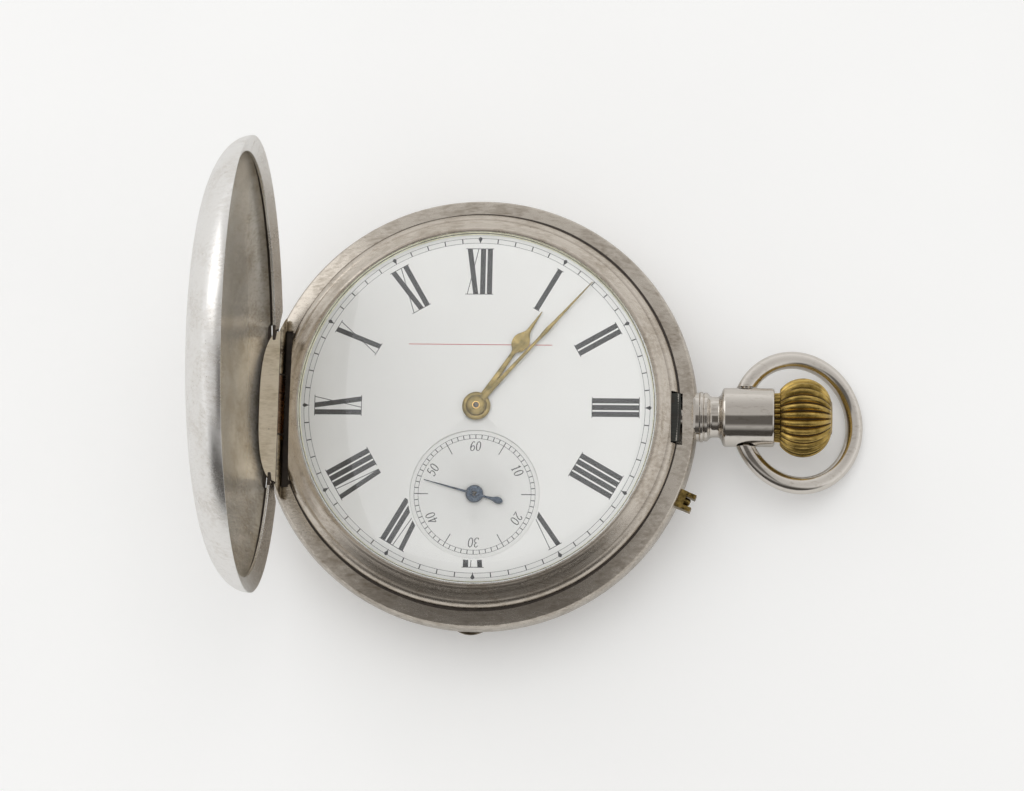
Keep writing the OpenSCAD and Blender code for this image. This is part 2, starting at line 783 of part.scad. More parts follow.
module minute_hand() {
    swell = minute_len - 8;
    color("darkgoldenrod") translate([0, 0, minute_hand_z]) rotate([0, 0, clockwise(minute_angle)])
        hand([[0.9, 0.34], [swell - 1.2, 0.17], [swell, 0.27], [swell + 1.2, 0.2], [minute_len, 0.05]],
            minute_boss_r, cannon_r, hand_t);
}

module hour_hand() {
    spade = hour_len - 4.35;
    color("darkgoldenrod") translate([0, 0, hour_hand_z]) rotate([0, 0, clockwise(hour_angle)])
        hand([[1.4, 0.4], [spade - 1.6, 0.26], [spade - 1.25, 0.55], [spade - 0.7, 0.92], [spade, 1.03],
            [spade + 0.6, 0.85], [spade + 1.1, 0.48], [spade + 1.4, 0.3], [spade + 2.2, 0.22],
            [hour_len, 0.05]], hour_boss_r, hour_pipe_r, hand_t);
}

module seconds_hand() {
    tail = 3.5;
    color("midnightblue") at([0, -sec_off], second_hand_z) {
        rotate([0, 0, clockwise(second_angle)])
            hand([[-tail, 0.06], [-tail + 0.25, 0.36], [-tail + 0.75, 0.42], [-1.6, 0.14], [-0.6, 0.14],
                [0.6, 0.14], [second_len, 0.04]], 1.05, sec_arbor_r, 0.12);
        translate([0, 0, 0.12 - eps]) ring(sec_arbor_r, 0.45, 0, 0.2);
    }
}

// Teeth and places of the motion work
cannon_teeth = 12;
minute_teeth = 36;
minute_pinion_teeth = 10;
hour_teeth = 40;
motion_dist = 4.2;
motion_dir = 50;
cannon_pitch = motion_dist * cannon_teeth / (cannon_teeth + minute_teeth);
minute_pitch = motion_dist - cannon_pitch;
hour_pitch = motion_dist * hour_teeth / (hour_teeth + minute_pinion_teeth);
motion_z = plate_top + 0.1;

// Toothed wheel with crossings between its arms. m is its module.
module wheel(teeth, m, t, phase, hub_r, arms, bore_r) {
    pitch_r = teeth * m / 2;
    rim_r = pitch_r - 1.3 * m - 0.5;
    rotate([0, 0, phase]) linear_extrude(t) difference() {
        polygon(gear_points(teeth, pitch_r, 0.95 * m, 1.3 * m, 0.27, 0.11));
        circle(bore_r);
        if (arms > 0) difference() {
            circle(rim_r);
            circle(hub_r);
            for (i = [0:arms - 1]) rotate([0, 0, i * 360 / arms])
                translate([0, -0.22]) square([rim_r + 1, 0.44]);
        }
    }
}

module pinion(teeth, m, z0, z1, phase, bore_r = 0) {
    translate([0, 0, z0]) rotate([0, 0, phase]) linear_extrude(z1 - z0) difference() {
        polygon(gear_points(teeth, teeth * m / 2, 0.75 * m, 1.35 * m, 0.22, 0.09));
        if (bore_r > 0) circle(bore_r);
    }
}

module cannon_pinion() {
    color("slategray") difference() {
        union() {
            pinion(cannon_teeth, 2 * cannon_pitch / cannon_teeth, plate_top + 0.05, motion_z + 0.4, 0);
            disc(cannon_r, plate_top + 0.3, minute_hand_z + hand_t + 0.05);
        }
        disc(centre_arbor_r + pin_gap, 0, dial_top + 3);
    }
}

module minute_wheel() {
    phase = mesh_phase(0, cannon_teeth, minute_teeth, motion_dir);
    color("gold") at(polar(motion_dist, motion_dir), motion_z) {
        wheel(minute_teeth, 2 * minute_pitch / minute_teeth, 0.25, phase, 1.2, 0, 0.43);
        pinion(minute_pinion_teeth, 2 * (motion_dist - hour_pitch) / minute_pinion_teeth, 0.25 - eps, 0.8,
            phase, 0.43);
    }
}

module hour_wheel() {
    phase = mesh_phase(mesh_phase(0, cannon_teeth, minute_teeth, motion_dir), minute_pinion_teeth,
        hour_teeth, motion_dir + 180);
    color("gold") {
        translate([0, 0, motion_z + 0.45])
            wheel(hour_teeth, 2 * hour_pitch / hour_teeth, 0.25, phase, 1.4, 0, cannon_r + pin_gap);
        ring(cannon_r + pin_gap, hour_pipe_r, motion_z + 0.5, hour_hand_z + hand_t + 0.02);
    }
}

// Teeth of the going train
barrel_teeth = 78;
centre_pinion_teeth = 12;
centre_teeth = 80;
third_pinion_teeth = 10;
third_teeth = 75;
fourth_pinion_teeth = 10;
fourth_teeth = 80;
escape_pinion_teeth = 8;
escape_teeth = 15;

// Centres of the movement's wheels
centre_at = [0, 0];
fourth_at = [0, -sec_off];
third_at = meet(centre_at, (centre_teeth + third_pinion_teeth) * centre_module / 2,
    fourth_at, (third_teeth + fourth_pinion_teeth) * third_module / 2);
escape_at = fourth_at + polar((fourth_teeth + escape_pinion_teeth) * fourth_module / 2, 150);
crown_wheel_at = [wind_pinion_x + 0.35 - crown_wheel_teeth * wind_module / 2, 0];
barrel_at = meet(centre_at, (barrel_teeth + centre_pinion_teeth) * great_module / 2,
    crown_wheel_at, (crown_wheel_teeth + ratchet_teeth) * wind_module / 2 + 0.02);
escapement_dir = 149.6;
pallet_dist = 3.7;
balance_dist = 8.61;
pallet_at = escape_at + polar(pallet_dist, escapement_dir);
balance_at = escape_at + polar(balance_dist, escapement_dir);
cock_foot_at = balance_at + polar(10.2, 101);
pallet_foot_at = pallet_at + polar(3.9, escapement_dir + 90);
click_at = barrel_at + polar(7.9, 62);
pillar_angles = [95, 142, 255, 308];
pillar_dist = plate_r - 3.6;

// Heights of the movement's wheels
barrel_z = bridge_top + 0.2;
fourth_z = bridge_top + 0.3;
escape_z = bridge_top + 1;
third_z = plate_z - 1.45;
centre_z = plate_z - 0.95;
wind_z = bridge_z + 0.15;
wind_t = 0.7;
balance_z = bridge_z + 0.3;
cock_z = bridge_z - 1.05;
cock_t = 0.7;
pallet_cock_z = bridge_top + 0.1;
fork_z = escape_z - 0.05;
jewel_t = 0.4;
barrel_h = 1.9;

// Phases that put every pair of wheels in mesh
third_phase = mesh_phase(0, fourth_pinion_teeth, third_teeth, direction(fourth_at, third_at));
centre_phase = mesh_phase(third_phase, third_pinion_teeth, centre_teeth, direction(third_at, centre_at));
barrel_phase = mesh_phase(centre_phase, centre_pinion_teeth, barrel_teeth, direction(centre_at, barrel_at));
escape_phase = mesh_phase(0, fourth_teeth, escape_pinion_teeth, direction(fourth_at, escape_at));
crown_wheel_phase = 180 / crown_wheel_teeth;
ratchet_phase = mesh_phase(crown_wheel_phase, crown_wheel_teeth, ratchet_teeth,
    direction(crown_wheel_at, barrel_at));

// Turned arbor with a pivot at each end: body from z0 to z1
module arbor(r, z0, z1, low = 0.35, high = 0.35) {
    disc(r, z0, z1);
    disc(pivot_r, z0 - low, z0 + eps);
    disc(pivot_r, z1 - eps, z1 + high);
}

// Hole for a jewel let into a plate's face between z0 and z1, with its oil sink through the plate
module jewel_hole(p, z0, z1) {
    at(p) {
        disc(jewel_r, z0, z1);
        disc(pivot_r + 0.23, z0 - 2, z1 + 2);
    }
}

main_jewels = [third_at, fourth_at, escape_at, pallet_at, balance_at];
bridge_jewels = [third_at, fourth_at, escape_at];
barrel_arbor_r = 0.8;
centre_pivot_r = 0.35;

module main_plate() {
    color("gold") difference() {
        union() {
            disc(plate_r, plate_z, plate_top);
            disc(plate_flange_r, ledge_z, plate_top);
            ring(dial_r - 0.45, dial_r, plate_top - eps, dial_z);
            for (a = pillar_angles) at(polar(pillar_dist, a)) disc(1.3, bridge_top, plate_z + eps);
            at_set_pin() at(lever_stud) disc(lever_stud_r, lever_z - 0.1, plate_z + eps);
            at(polar(motion_dist, motion_dir)) disc(0.4, plate_top - eps, motion_z + 0.85);
        }
        for (p = main_jewels) jewel_hole(p, plate_z - eps, plate_z + jewel_t);
        disc(centre_arbor_r + 0.02, 0, dial_top);
        at(barrel_at) disc(barrel_arbor_r + pin_gap, plate_z - 1, plate_z + 1);
        block(wind_pinion_x - 0.25, dial_r - 0.5, -3.4, 3.4, plate_z - 1, dial_z - 0.4);
        // Flat that clears the lid's strap
        block(-plate_r - 2, flat_x, -plate_r, plate_r, plate_z - 1, plate_top + 0.5);
        for (a = pillar_angles) at(polar(pillar_dist, a)) disc(screw_r, bridge_top - 1, bridge_top + 2);
        for (a = case_screw_angles) at(polar(plate_r - 0.7, a)) disc(screw_r * 0.8, plate_z - 1, plate_z + 1.1);
    }
}

case_screw_angles = [70, 205];

// Screw with a slotted head below z and its shank above
module screw(r, z, shank) {
    difference() {
        disc(2 * r, z - 0.4, z);
        block(-2 * r, 2 * r, -0.1, 0.1, z - 0.5, z - 0.2);
    }
    disc(r, z - eps, z + shank);
}

module case_screws() {
    color("steelblue") for (a = case_screw_angles) at(polar(plate_r - 0.7, a))
        screw(screw_r * 0.8, plate_z, 1.05);
}

module three_quarter_plate() {
    opening = balance_r + 0.4;
    wheel_room = wind_z + wind_t + 0.1;
    ratchet_tip = ratchet_teeth * wind_module / 2 + wind_add;
    crown_tip = crown_wheel_teeth * wind_module / 2 + wind_add;
    color("gold") {
        difference() {
            disc(bridge_r, bridge_z, bridge_top);
            at(balance_at) disc(opening, 0, plate_z);
            rotate([0, 0, direction([0, 0], balance_at)])
                block(norm(balance_at), bridge_r + 2, -5, 5, 0, plate_z);
            at(cock_foot_at) disc(2.7, 0, plate_z);
            at(barrel_at) disc(ratchet_tip + 0.25, 0, wheel_room);
            at(crown_wheel_at) disc(crown_tip + 0.25, 0, wheel_room);
            at(click_at) disc(2.35, 0, wheel_room);
            at(barrel_at) disc(barrel_arbor_r + pin_gap, 0, plate_z);
            block(wind_pinion_x - 0.25, bridge_r + 1, -3.4, 3.4, 0, plate_z);
            disc(centre_pivot_r + 0.02, 0, plate_z);
            for (p = bridge_jewels) jewel_hole(p, bridge_top - jewel_t, bridge_top + eps);
            for (a = pillar_angles) at(polar(pillar_dist, a)) {
                disc(screw_r, 0, plate_z);
                disc(2 * screw_r + 0.05, 0, bridge_z + 0.42);
            }
        }
        // Studs that the crown wheel and the click turn on
        at(crown_wheel_at) ring(screw_r, 1.4, wind_z, wheel_room + eps);
        at(click_at) ring(screw_r * 0.6, 0.5, wind_z, wheel_room + eps);
    }
}

// Tapered arm from a foot to a round table
module arm_plate(from, r0, to, r1, z0, z1) {
    d = direction(from, to);
    len = norm(to - from);
    translate([from[0], from[1], z0]) rotate([0, 0, d]) linear_extrude(z1 - z0)
        polygon([[0, -r0], [len, -r1], [len, r1], [0, r0]]);
    at(from) disc(r0, z0, z1);
    at(to) disc(r1, z0, z1);
}

module balance_cock() {
    boss_z = cock_z - 0.35;
    color("gold") difference() {
        union() {
            arm_plate(cock_foot_at, 2.4, balance_at, 1.9, cock_z, cock_z + cock_t);
            at(cock_foot_at) disc(2.4, cock_z, plate_z);
            at(balance_at) disc(0.85, boss_z, cock_z + eps);
            // Stud that pins the outer end of the hairspring
            at(balance_at) rotate([0, 0, 101]) block(hair_out_r + 0.08, hair_out_r + 0.5, -0.2, 0.2,
                cock_z + cock_t - eps, cock_z + cock_t + 0.35);
        }
        jewel_hole(balance_at, cock_z + cock_t - jewel_t, cock_z + cock_t + eps);
        at(cock_foot_at) disc(screw_r, 0, plate_z - 2);
    }
}

module pallet_cock() {
    color("gold") difference() {
        union() {
            arm_plate(pallet_foot_at, 0.95, pallet_at, 0.9, pallet_cock_z, pallet_cock_z + jewel_t);
            at(pallet_foot_at) disc(0.95, pallet_cock_z, plate_z);
        }
        jewel_hole(pallet_at, pallet_cock_z - eps, pallet_cock_z + jewel_t + eps);
        at(pallet_foot_at) {
            disc(screw_r * 0.6, 0, plate_z - 1);
            disc(screw_r * 1.2 + 0.05, 0, pallet_cock_z + 0.42);
        }
    }
}

module plate_screws() {
    color("steelblue") {
        for (a = pillar_angles) at(polar(pillar_dist, a)) screw(screw_r, bridge_z + 0.42, 2.3);
        at(cock_foot_at) screw(screw_r, cock_z, 3);
        at(pallet_foot_at) screw(screw_r * 0.6, pallet_cock_z + 0.42, 2);
        at(crown_wheel_at) {
            screw(screw_r, wind_z - 0.02, wind_t);
            disc(1.8, wind_z - 0.17, wind_z - 0.02);
        }
        at(click_at) screw(screw_r * 0.6, wind_z - 0.02, wind_t);
    }
}

module jewels() {
    color("crimson") {
        for (p = main_jewels) at(p)
            ring((p == fourth_at ? sec_arbor_r : pivot_r) + pivot_gap, jewel_r, plate_z, plate_z + jewel_t);
        for (p = bridge_jewels) at(p)
            ring(pivot_r + pivot_gap, jewel_r, bridge_top - jewel_t, bridge_top);
        at(balance_at) ring(pivot_r + pivot_gap, jewel_r, cock_z + cock_t - jewel_t, cock_z + cock_t);
        at(pallet_at) ring(pivot_r + pivot_gap, jewel_r, pallet_cock_z, pallet_cock_z + jewel_t);
    }
}

// Flat spiral ribbon
module spiral(r0, r1, turns, t, z0, z1, steps = 24) {
    n = turns * steps;
    outer = [for (i = [0:n]) polar(r0 + (r1 - r0) * i / n + t / 2, i * 360 / steps)];
    inner = [for (i = [0:n]) polar(r0 + (r1 - r0) * i / n - t / 2, i * 360 / steps)];
    translate([0, 0, z0]) linear_extrude(z1 - z0) polygon(concat(outer, flip(inner)));
}

module barrel() {
    pitch_r = barrel_teeth * great_module / 2;
    color("gold") at(barrel_at) {
        translate([0, 0, barrel_z])
            wheel(barrel_teeth, great_module, 0.6, barrel_phase, 1, 0, barrel_arbor_r + pin_gap);
        ring(pitch_r - 0.98, pitch_r - 0.58, barrel_z + 0.3, barrel_z + barrel_h);
    }
}

module barrel_cover() {
    color("gold") at(barrel_at) ring(barrel_arbor_r + pin_gap, barrel_teeth * great_module / 2 - 0.99,
        barrel_z + barrel_h - 0.25, barrel_z + barrel_h);
}

module mainspring() {
    color("slategray") at(barrel_at) spiral(1.75, barrel_teeth * great_module / 2 - 1.2, main_turns, 0.25,
        barrel_z + 0.7, barrel_z + barrel_h - 0.35, 20);
}

module barrel_arbor() {
    color("slategray") at(barrel_at) {
        disc(barrel_arbor_r, wind_z + wind_t, plate_z + 0.9);
        disc(1.5, barrel_z + 0.65, barrel_z + barrel_h - 0.3);
        translate([-0.5, -0.5, wind_z]) cube([1, 1, wind_t + 0.1]);
    }
}

// Steel winding wheel with square cut teeth
module winding_wheel(teeth, phase) {
    translate([0, 0, wind_z]) rotate([0, 0, phase]) linear_extrude(wind_t) difference() {
        polygon(gear_points(teeth, teeth * wind_module / 2, wind_add, wind_ded, 0.24, 0.13));
        children();
    }
}

module ratchet_wheel() {
    color("slategray") at(barrel_at) winding_wheel(ratchet_teeth, ratchet_phase)
        rotate([0, 0, -ratchet_phase]) square(1, center = true);
}

module crown_wheel() {
    color("slategray") at(crown_wheel_at) winding_wheel(crown_wheel_teeth, crown_wheel_phase)
        circle(1.4 + pin_gap);
}

module click() {
    nose = 7.9 - ratchet_teeth * wind_module / 2 - wind_add - 0.06;
    color("slategray") at(click_at, wind_z) rotate([0, 0, 62 + 180]) linear_extrude(wind_t - 0.1)
        difference() {
            union() {
                circle(1);
                polygon([[0, -0.95], [nose, -0.25], [nose, 0.2], [0, 0.95]]);
            }
            circle(0.5 + pin_gap);
        }
}

module click_spring() {
    color("slategray") at(click_at) {
        strip(1.35, 0.2, -60, 130, wind_z + 0.1, wind_z + 0.5);
        rotate([0, 0, 120]) block(1.4, 2.3, -0.4, 0.4, wind_z + 0.1, wind_z + wind_t);
    }
}

module centre_wheel() {
    color("gold") {
        translate([0, 0, centre_z]) wheel(centre_teeth, centre_module, 0.25, centre_phase, 1.3, 5, 0);
        pinion(centre_pinion_teeth, great_module, bridge_top + 0.05, barrel_z + 1, centre_phase);
        disc(0.5, bridge_top + 0.05, plate_z - 0.05);
        disc(centre_pivot_r, bridge_z + 0.1, bridge_top + 0.1);
        disc(centre_arbor_r, plate_z - 0.1, minute_hand_z + hand_t + 0.2);
    }
}

module third_wheel() {
    color("gold") at(third_at) {
        translate([0, 0, third_z]) wheel(third_teeth, third_module, 0.2, third_phase, 1.1, 5, 0);
        pinion(third_pinion_teeth, centre_module, third_z + 0.2 - eps, centre_z + 0.55, third_phase);
        arbor(0.35, bridge_top + 0.05, plate_z - 0.05);
    }
}

module fourth_wheel() {
    color("gold") at(fourth_at) {
        translate([0, 0, fourth_z]) wheel(fourth_teeth, fourth_module, 0.2, 0, 1, 5, 0);
        pinion(fourth_pinion_teeth, third_module, third_z - 0.15, third_z + 0.35, 0);
        arbor(0.35, bridge_top + 0.05, plate_z - 0.05);
        disc(sec_arbor_r, plate_z - 0.1, second_hand_z + 0.35);
    }
}

module escape_wheel() {
    stone_free = 6;
    tooth = escapement_dir - 30.1 - stone_free;
    pitch = 360 / escape_teeth;
    color("gold") at(escape_at) {
        translate([0, 0, escape_z]) linear_extrude(0.2) rotate([0, 0, tooth]) difference() {
            polygon([for (i = [0:escape_teeth - 1], k = [[-0.3, 0.76], [-0.05, 1], [0.04, 0.99], [0.02, 0.9],
                [0, 0.76]]) polar(escape_r * k[1], (i + k[0]) * pitch)]);
            difference() {
                circle(escape_r * 0.64);
                circle(0.7);
                for (i = [0:3]) rotate([0, 0, i * 90]) translate([0, -0.15]) square([escape_r, 0.3]);
            }
        }
        pinion(escape_pinion_teeth, fourth_module, fourth_z - 0.1, fourth_z + 0.3, escape_phase);
        arbor(0.3, bridge_top + 0.05, plate_z - 0.05);
    }
}

// Lever with its two stones. Its axis is the pallet centre and +x points to the balance.
module pallet_fork() {
    reach = balance_dist - pallet_dist - 0.97;
    stone_r = escape_r + 0.05;
    span = acos(escape_r / pallet_dist);
    color("slategray") at(pallet_at, fork_z) rotate([0, 0, escapement_dir]) {
        linear_extrude(0.3) {
            circle(0.55);
            difference() {
                polygon([[0, -0.4], [reach - 0.9, -0.18], [reach - 0.6, -0.55], [reach, -0.5], [reach, 0.5],
                    [reach - 0.6, 0.55], [reach - 0.9, 0.18], [0, 0.4]]);
                translate([reach - 0.45, -0.16]) square([1, 0.32]);
            }
            polygon([[-0.4, 0], [-0.75, 2.1], [-0.2, 2.4], [0.4, 0], [-0.2, -2.4], [-0.75, -2.1]]);
            for (side = [-1, 1]) translate([-pallet_dist, 0]) rotate([0, 0, side * span])
                translate([stone_r, -0.22]) square([0.95, 0.44]);
        }
        translate([0, 0, -fork_z]) arbor(0.25, pallet_cock_z + jewel_t + 0.05, plate_z - 0.05, 0.3, 0.3);
    }
}

module banking_pins() {
    x = 2.7;
    color("gold") at(pallet_at) rotate([0, 0, escapement_dir]) for (side = [-1, 1])
        translate([x, side * 0.66, 0]) disc(0.12, fork_z - 0.1, plate_z);
}

// Balance with two arms and screws round its rim
module balance_wheel() {
    rim_out = balance_r - 0.4;
    rim_in = rim_out - 0.7;
    color("gold") at(balance_at, balance_z) {
        ring(rim_in, rim_out, 0, 0.8);
        difference() {
            union() {
                block(-rim_in - 0.1, rim_in + 0.1, -0.45, 0.45, 0, 0.35);
                disc(0.8, 0, 0.45);
            }
            disc(0.3, -1, 1);
        }
        for (i = [0:13]) rotate([0, 0, i * 360 / 14 + 12]) translate([rim_out - 0.05, 0, 0.4])
            rotate([0, 90, 0]) cylinder(r = 0.3, h = 0.45, $fn = 24);
    }
}

module balance_staff() {
    roller_z = fork_z - 0.5;
    color("slategray") at(balance_at) {
        arbor(0.3, cock_z + cock_t + 0.05, plate_z - 0.05);
        disc(1, roller_z, roller_z + 0.2);
        // Impulse pin
        rotate([0, 0, escapement_dir + 180]) translate([0.8, 0, 0]) disc(0.12, roller_z + 0.1, fork_z + 0.3);
    }
}

hair_in_r = 0.75;
hair_out_r = 3;

module hairspring() {
    z = cock_z + cock_t + 0.1;
    color("midnightblue") at(balance_at) rotate([0, 0, 101])
        spiral(hair_in_r, hair_out_r, hair_turns, 0.1, z, z + 0.2);
}

module regulator() {
    z = cock_z - 0.32;
    color("slategray") at(balance_at) rotate([0, 0, 281]) {
        ring(0.88, 1.45, z, z + 0.27);
        translate([0, 0, z]) linear_extrude(0.27)
            polygon([[1.3, -0.35], [4.6, -0.12], [4.6, 0.12], [1.3, 0.35]]);
    }
}

case_middle();
front_lid();
front_joint_pin();
back_cover();
back_joint_pin();
cuvette();
cuvette_joint_pin();
bezel();
crystal();
lock_spring();
lift_spring();
case_spring_screws();
pendant();
bow();
crown();
winding_stem();
winding_pinion();
set_pin();
set_pin_guard();
setting_lever();
case_screws();
dial();
seconds_dial();
minute_hand();
hour_hand();
seconds_hand();
cannon_pinion();
minute_wheel();
hour_wheel();
main_plate();
three_quarter_plate();
balance_cock();
pallet_cock();
plate_screws();
barrel();
barrel_cover();
mainspring();
barrel_arbor();
ratchet_wheel();
click();
click_spring();
crown_wheel();
centre_wheel();
third_wheel();
fourth_wheel();
escape_wheel();
pallet_fork();
balance_wheel();
balance_staff();
hairspring();
regulator();
jewels();
banking_pins();
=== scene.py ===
import math

import bmesh
import bpy
from mathutils import Matrix, Vector


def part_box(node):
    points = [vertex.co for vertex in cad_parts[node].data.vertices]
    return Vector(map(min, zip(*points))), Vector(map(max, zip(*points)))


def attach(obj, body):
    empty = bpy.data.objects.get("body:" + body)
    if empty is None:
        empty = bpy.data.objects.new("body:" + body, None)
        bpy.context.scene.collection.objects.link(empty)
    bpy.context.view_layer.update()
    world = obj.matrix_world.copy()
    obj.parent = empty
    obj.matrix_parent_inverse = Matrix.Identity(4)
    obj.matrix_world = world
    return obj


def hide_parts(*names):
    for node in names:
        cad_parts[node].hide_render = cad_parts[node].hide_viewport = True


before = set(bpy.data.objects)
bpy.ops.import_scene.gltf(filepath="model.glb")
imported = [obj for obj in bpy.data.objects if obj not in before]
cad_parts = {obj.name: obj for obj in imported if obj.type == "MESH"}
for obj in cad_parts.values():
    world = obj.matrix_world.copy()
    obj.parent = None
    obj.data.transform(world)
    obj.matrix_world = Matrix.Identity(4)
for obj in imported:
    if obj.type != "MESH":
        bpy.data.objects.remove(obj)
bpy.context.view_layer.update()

# Camera, light and table
# The watch lies on a white table, with a large soft lamp overhead and a smaller one at the
# upper left. The room round it is white at eye level and greyer overhead, which gives the
# silver its tone.
mm = 0.001


def hex_colour(code):
    """sRGB hex to the linear values that Blender's sockets hold"""
    parts = [int(code[i:i + 2], 16) / 255 for i in (0, 2, 4)]
    return [c / 12.92 if c <= 0.04045 else ((c + 0.055) / 1.055) ** 2.4 for c in parts] + [1.0]


def feed(tree, node, inputs):
    """Sets a node's sockets. Each gets a value, the hex code of a colour, or the output that
    feeds it. A whole node stands for its first output."""
    for socket, value in inputs.items():
        if isinstance(value, bpy.types.Node):
            value = value.outputs[0]
        if isinstance(value, bpy.types.NodeSocket):
            tree.links.new(value, node.inputs[socket])
        else:
            node.inputs[socket].default_value = hex_colour(value) if isinstance(value, str) else value


def add(tree, kind, inputs=None, **settings):
    """Adds a shader node with its settings and links"""
    node = tree.nodes.new(f"ShaderNode{kind}")
    for name, value in settings.items():
        setattr(node, name, value)
    feed(tree, node, inputs or {})
    return node


def new_material(name):
    """Empty material, as (material, its nodes, its Principled shader, the piece's coordinates)"""
    material = bpy.data.materials.new(name)
    material.use_nodes = True
    tree = material.node_tree
    tree.nodes.clear()
    shader = add(tree, "BsdfPrincipled")
    add(tree, "OutputMaterial", {"Surface": shader})
    return material, tree, shader, add(tree, "TexCoord").outputs["Object"]


eye = Vector((31.206, -86.899, 421.949)) * mm
right = Vector((0.99789749, 0.02168372, -0.06107716))
up = Vector((-0.00831236, 0.97740932, 0.2111917))
back = Vector((0.06427681, -0.21023997, 0.97553454))
camera = bpy.data.objects.new("camera", bpy.data.cameras.new("camera"))
bpy.context.scene.collection.objects.link(camera)
camera.matrix_world = Matrix.Translation(eye) @ Matrix((right, up, back)).transposed().to_4x4()
camera.data.sensor_width = 36
camera.data.lens = 123.6
camera.data.clip_start = 0.01
bpy.context.scene.camera = camera
bpy.context.scene.view_settings.view_transform = "Standard"

table_half = 2.5
corners = [(x * table_half, y * table_half, 0) for x, y in ((-1, -1), (1, -1), (1, 1), (-1, 1))]
table_mesh = bpy.data.meshes.new("table")
table_mesh.from_pydata(corners, [], [(0, 1, 2, 3)])
table = bpy.data.objects.new("table", table_mesh)
bpy.context.scene.collection.objects.link(table)

# Matt white card: it takes soft shadows and shows no grain at this distance
white_card, tree, shader, place = new_material("white_card")
fibre = add(tree, "TexNoise", {"Vector": place, "Scale": 1 / (25 * mm), "Detail": 2.0})
tone = add(tree, "Mix", {0: fibre, 6: "F3F3F2", 7: "F7F7F6"}, data_type="RGBA")
# To the camera the card is a little lighter, as in a picture exposed for a white ground
path = add(tree, "LightPath")
paler = add(tree, "Math", {0: path.outputs["Is Camera Ray"], 1: 0.14}, operation="MULTIPLY")
feed(tree, shader, {"Base Color": tone.outputs[2], "Roughness": 0.9, "Specular IOR Level": 0.1,
                    "Emission Color": (1, 1, 1, 1), "Emission Strength": paler})
table_mesh.materials.append(white_card)

world = bpy.data.worlds.new("studio")
bpy.context.scene.world = world
world.use_nodes = True
tree = world.node_tree
tree.nodes.clear()
path = add(tree, "LightPath")
sky = add(tree, "TexCoord")
way = add(tree, "SeparateXYZ", {"Vector": sky.outputs["Generated"]})
overhead = add(tree, "ValToRGB", {"Fac": way.outputs["Z"]})
white_wall, grey_ceiling = overhead.color_ramp.elements
white_wall.position, white_wall.color = 0.05, (0.95, 0.95, 0.95, 1)
grey_ceiling.position, grey_ceiling.color = 0.8, (0.55, 0.54, 0.53, 1)
room = overhead.outputs["Color"]
beside = add(tree, "Math", {0: way.outputs["X"]}, operation="ABSOLUTE")
# Two dark patches, each with its colour and with the ramps that bound it. The room is dark on
# the photographer's side, which blackens the near slope of the bezel. The photographer leans in
# just below the zenith, and makes a hard-edged stripe on what is polished.
for colour, *edges in (
        ((0.07, 0.065, 0.06, 1), (way.outputs["Y"], -0.42, -0.68), (way.outputs["Z"], 0.72, 0.42)),
        ((0.14, 0.132, 0.125, 1), (way.outputs["Y"], -0.04, -0.09), (way.outputs["Y"], -0.75, -0.6),
         (beside, 0.5, 0.4))):
    inside = 1.0
    for value, outer, inner in edges:
        ramp = add(tree, "MapRange", {"Value": value, "From Min": outer, "From Max": inner})
        inside = add(tree, "Math", {0: inside, 1: ramp}, operation="MULTIPLY")
    room = add(tree, "Mix", {0: inside, 6: room, 7: colour}, data_type="RGBA").outputs[2]
# What the camera and glass see past the table stays pale
plain = add(tree, "Math", {0: path.outputs["Is Camera Ray"], 1: path.outputs["Is Transmission Ray"]},
            operation="MAXIMUM")
shown = add(tree, "Mix", {0: plain, 6: room, 7: (0.93, 0.93, 0.93, 1)}, data_type="RGBA")
lit = add(tree, "Background", {"Color": (1.0, 0.995, 0.99, 1), "Strength": 0.66})
seen = add(tree, "Background", {"Color": shown.outputs[2], "Strength": 1.0})
mirrored = add(tree, "Math", {0: plain, 1: path.outputs["Is Glossy Ray"]}, operation="MAXIMUM")
both = add(tree, "MixShader", {0: mirrored, 1: lit, 2: seen})
add(tree, "OutputWorld", {"Surface": both})


def lamp(name, place, size, power):
    """Soft lamp that faces the watch"""
    light = bpy.data.objects.new(name, bpy.data.lights.new(name, "AREA"))
    bpy.context.scene.collection.objects.link(light)
    light.location = place
    light.rotation_euler = (Vector((0, 0, 0.01)) - Vector(place)).to_track_quat("-Z", "Y").to_euler()
    light.data.shape = "RECTANGLE"
    light.data.size, light.data.size_y = size
    light.data.energy = power
    return light


# Polished parts mirror the room and not the large lamp, so that the glass stays clear
lamp("top_lamp", (-0.05, 0.3, 1.1), (0.9, 0.9), 2.4).visible_glossy = False
lamp("left_lamp", (-0.62, 0.42, 0.55), (0.6, 0.6), 0.9)

# Case middle
# The band of the case is a turned and soldered ring of sterling silver. Its two flanges
# carry the lid and the back, and its joint knuckles are filed flush with it.


def curve_back(points, size, steps=3, closed=True, least=20):
    """Rounds the corners of a profile, as polishing does"""
    out = []
    count = len(points)
    for i, p in enumerate(points):
        if p[0] < 1e-6 or not closed and i in (0, count - 1):
            out.append(tuple(p))
            continue
        a, b, c = Vector(points[i - 1]), Vector(p), Vector(points[(i + 1) % count])
        into, away = b - a, c - b
        turn = into.angle(away, 0)
        if math.degrees(turn) < least:
            out.append(tuple(p))
            continue
        cut = min(size * math.tan(turn / 2), 0.45 * into.length, 0.45 * away.length)
        start, end = b - into.normalized() * cut, b + away.normalized() * cut
        for k in range(steps + 1):
            t = k / steps
            out.append(tuple(start * (1 - t) ** 2 + b * 2 * t * (1 - t) + end * t * t))
    return out


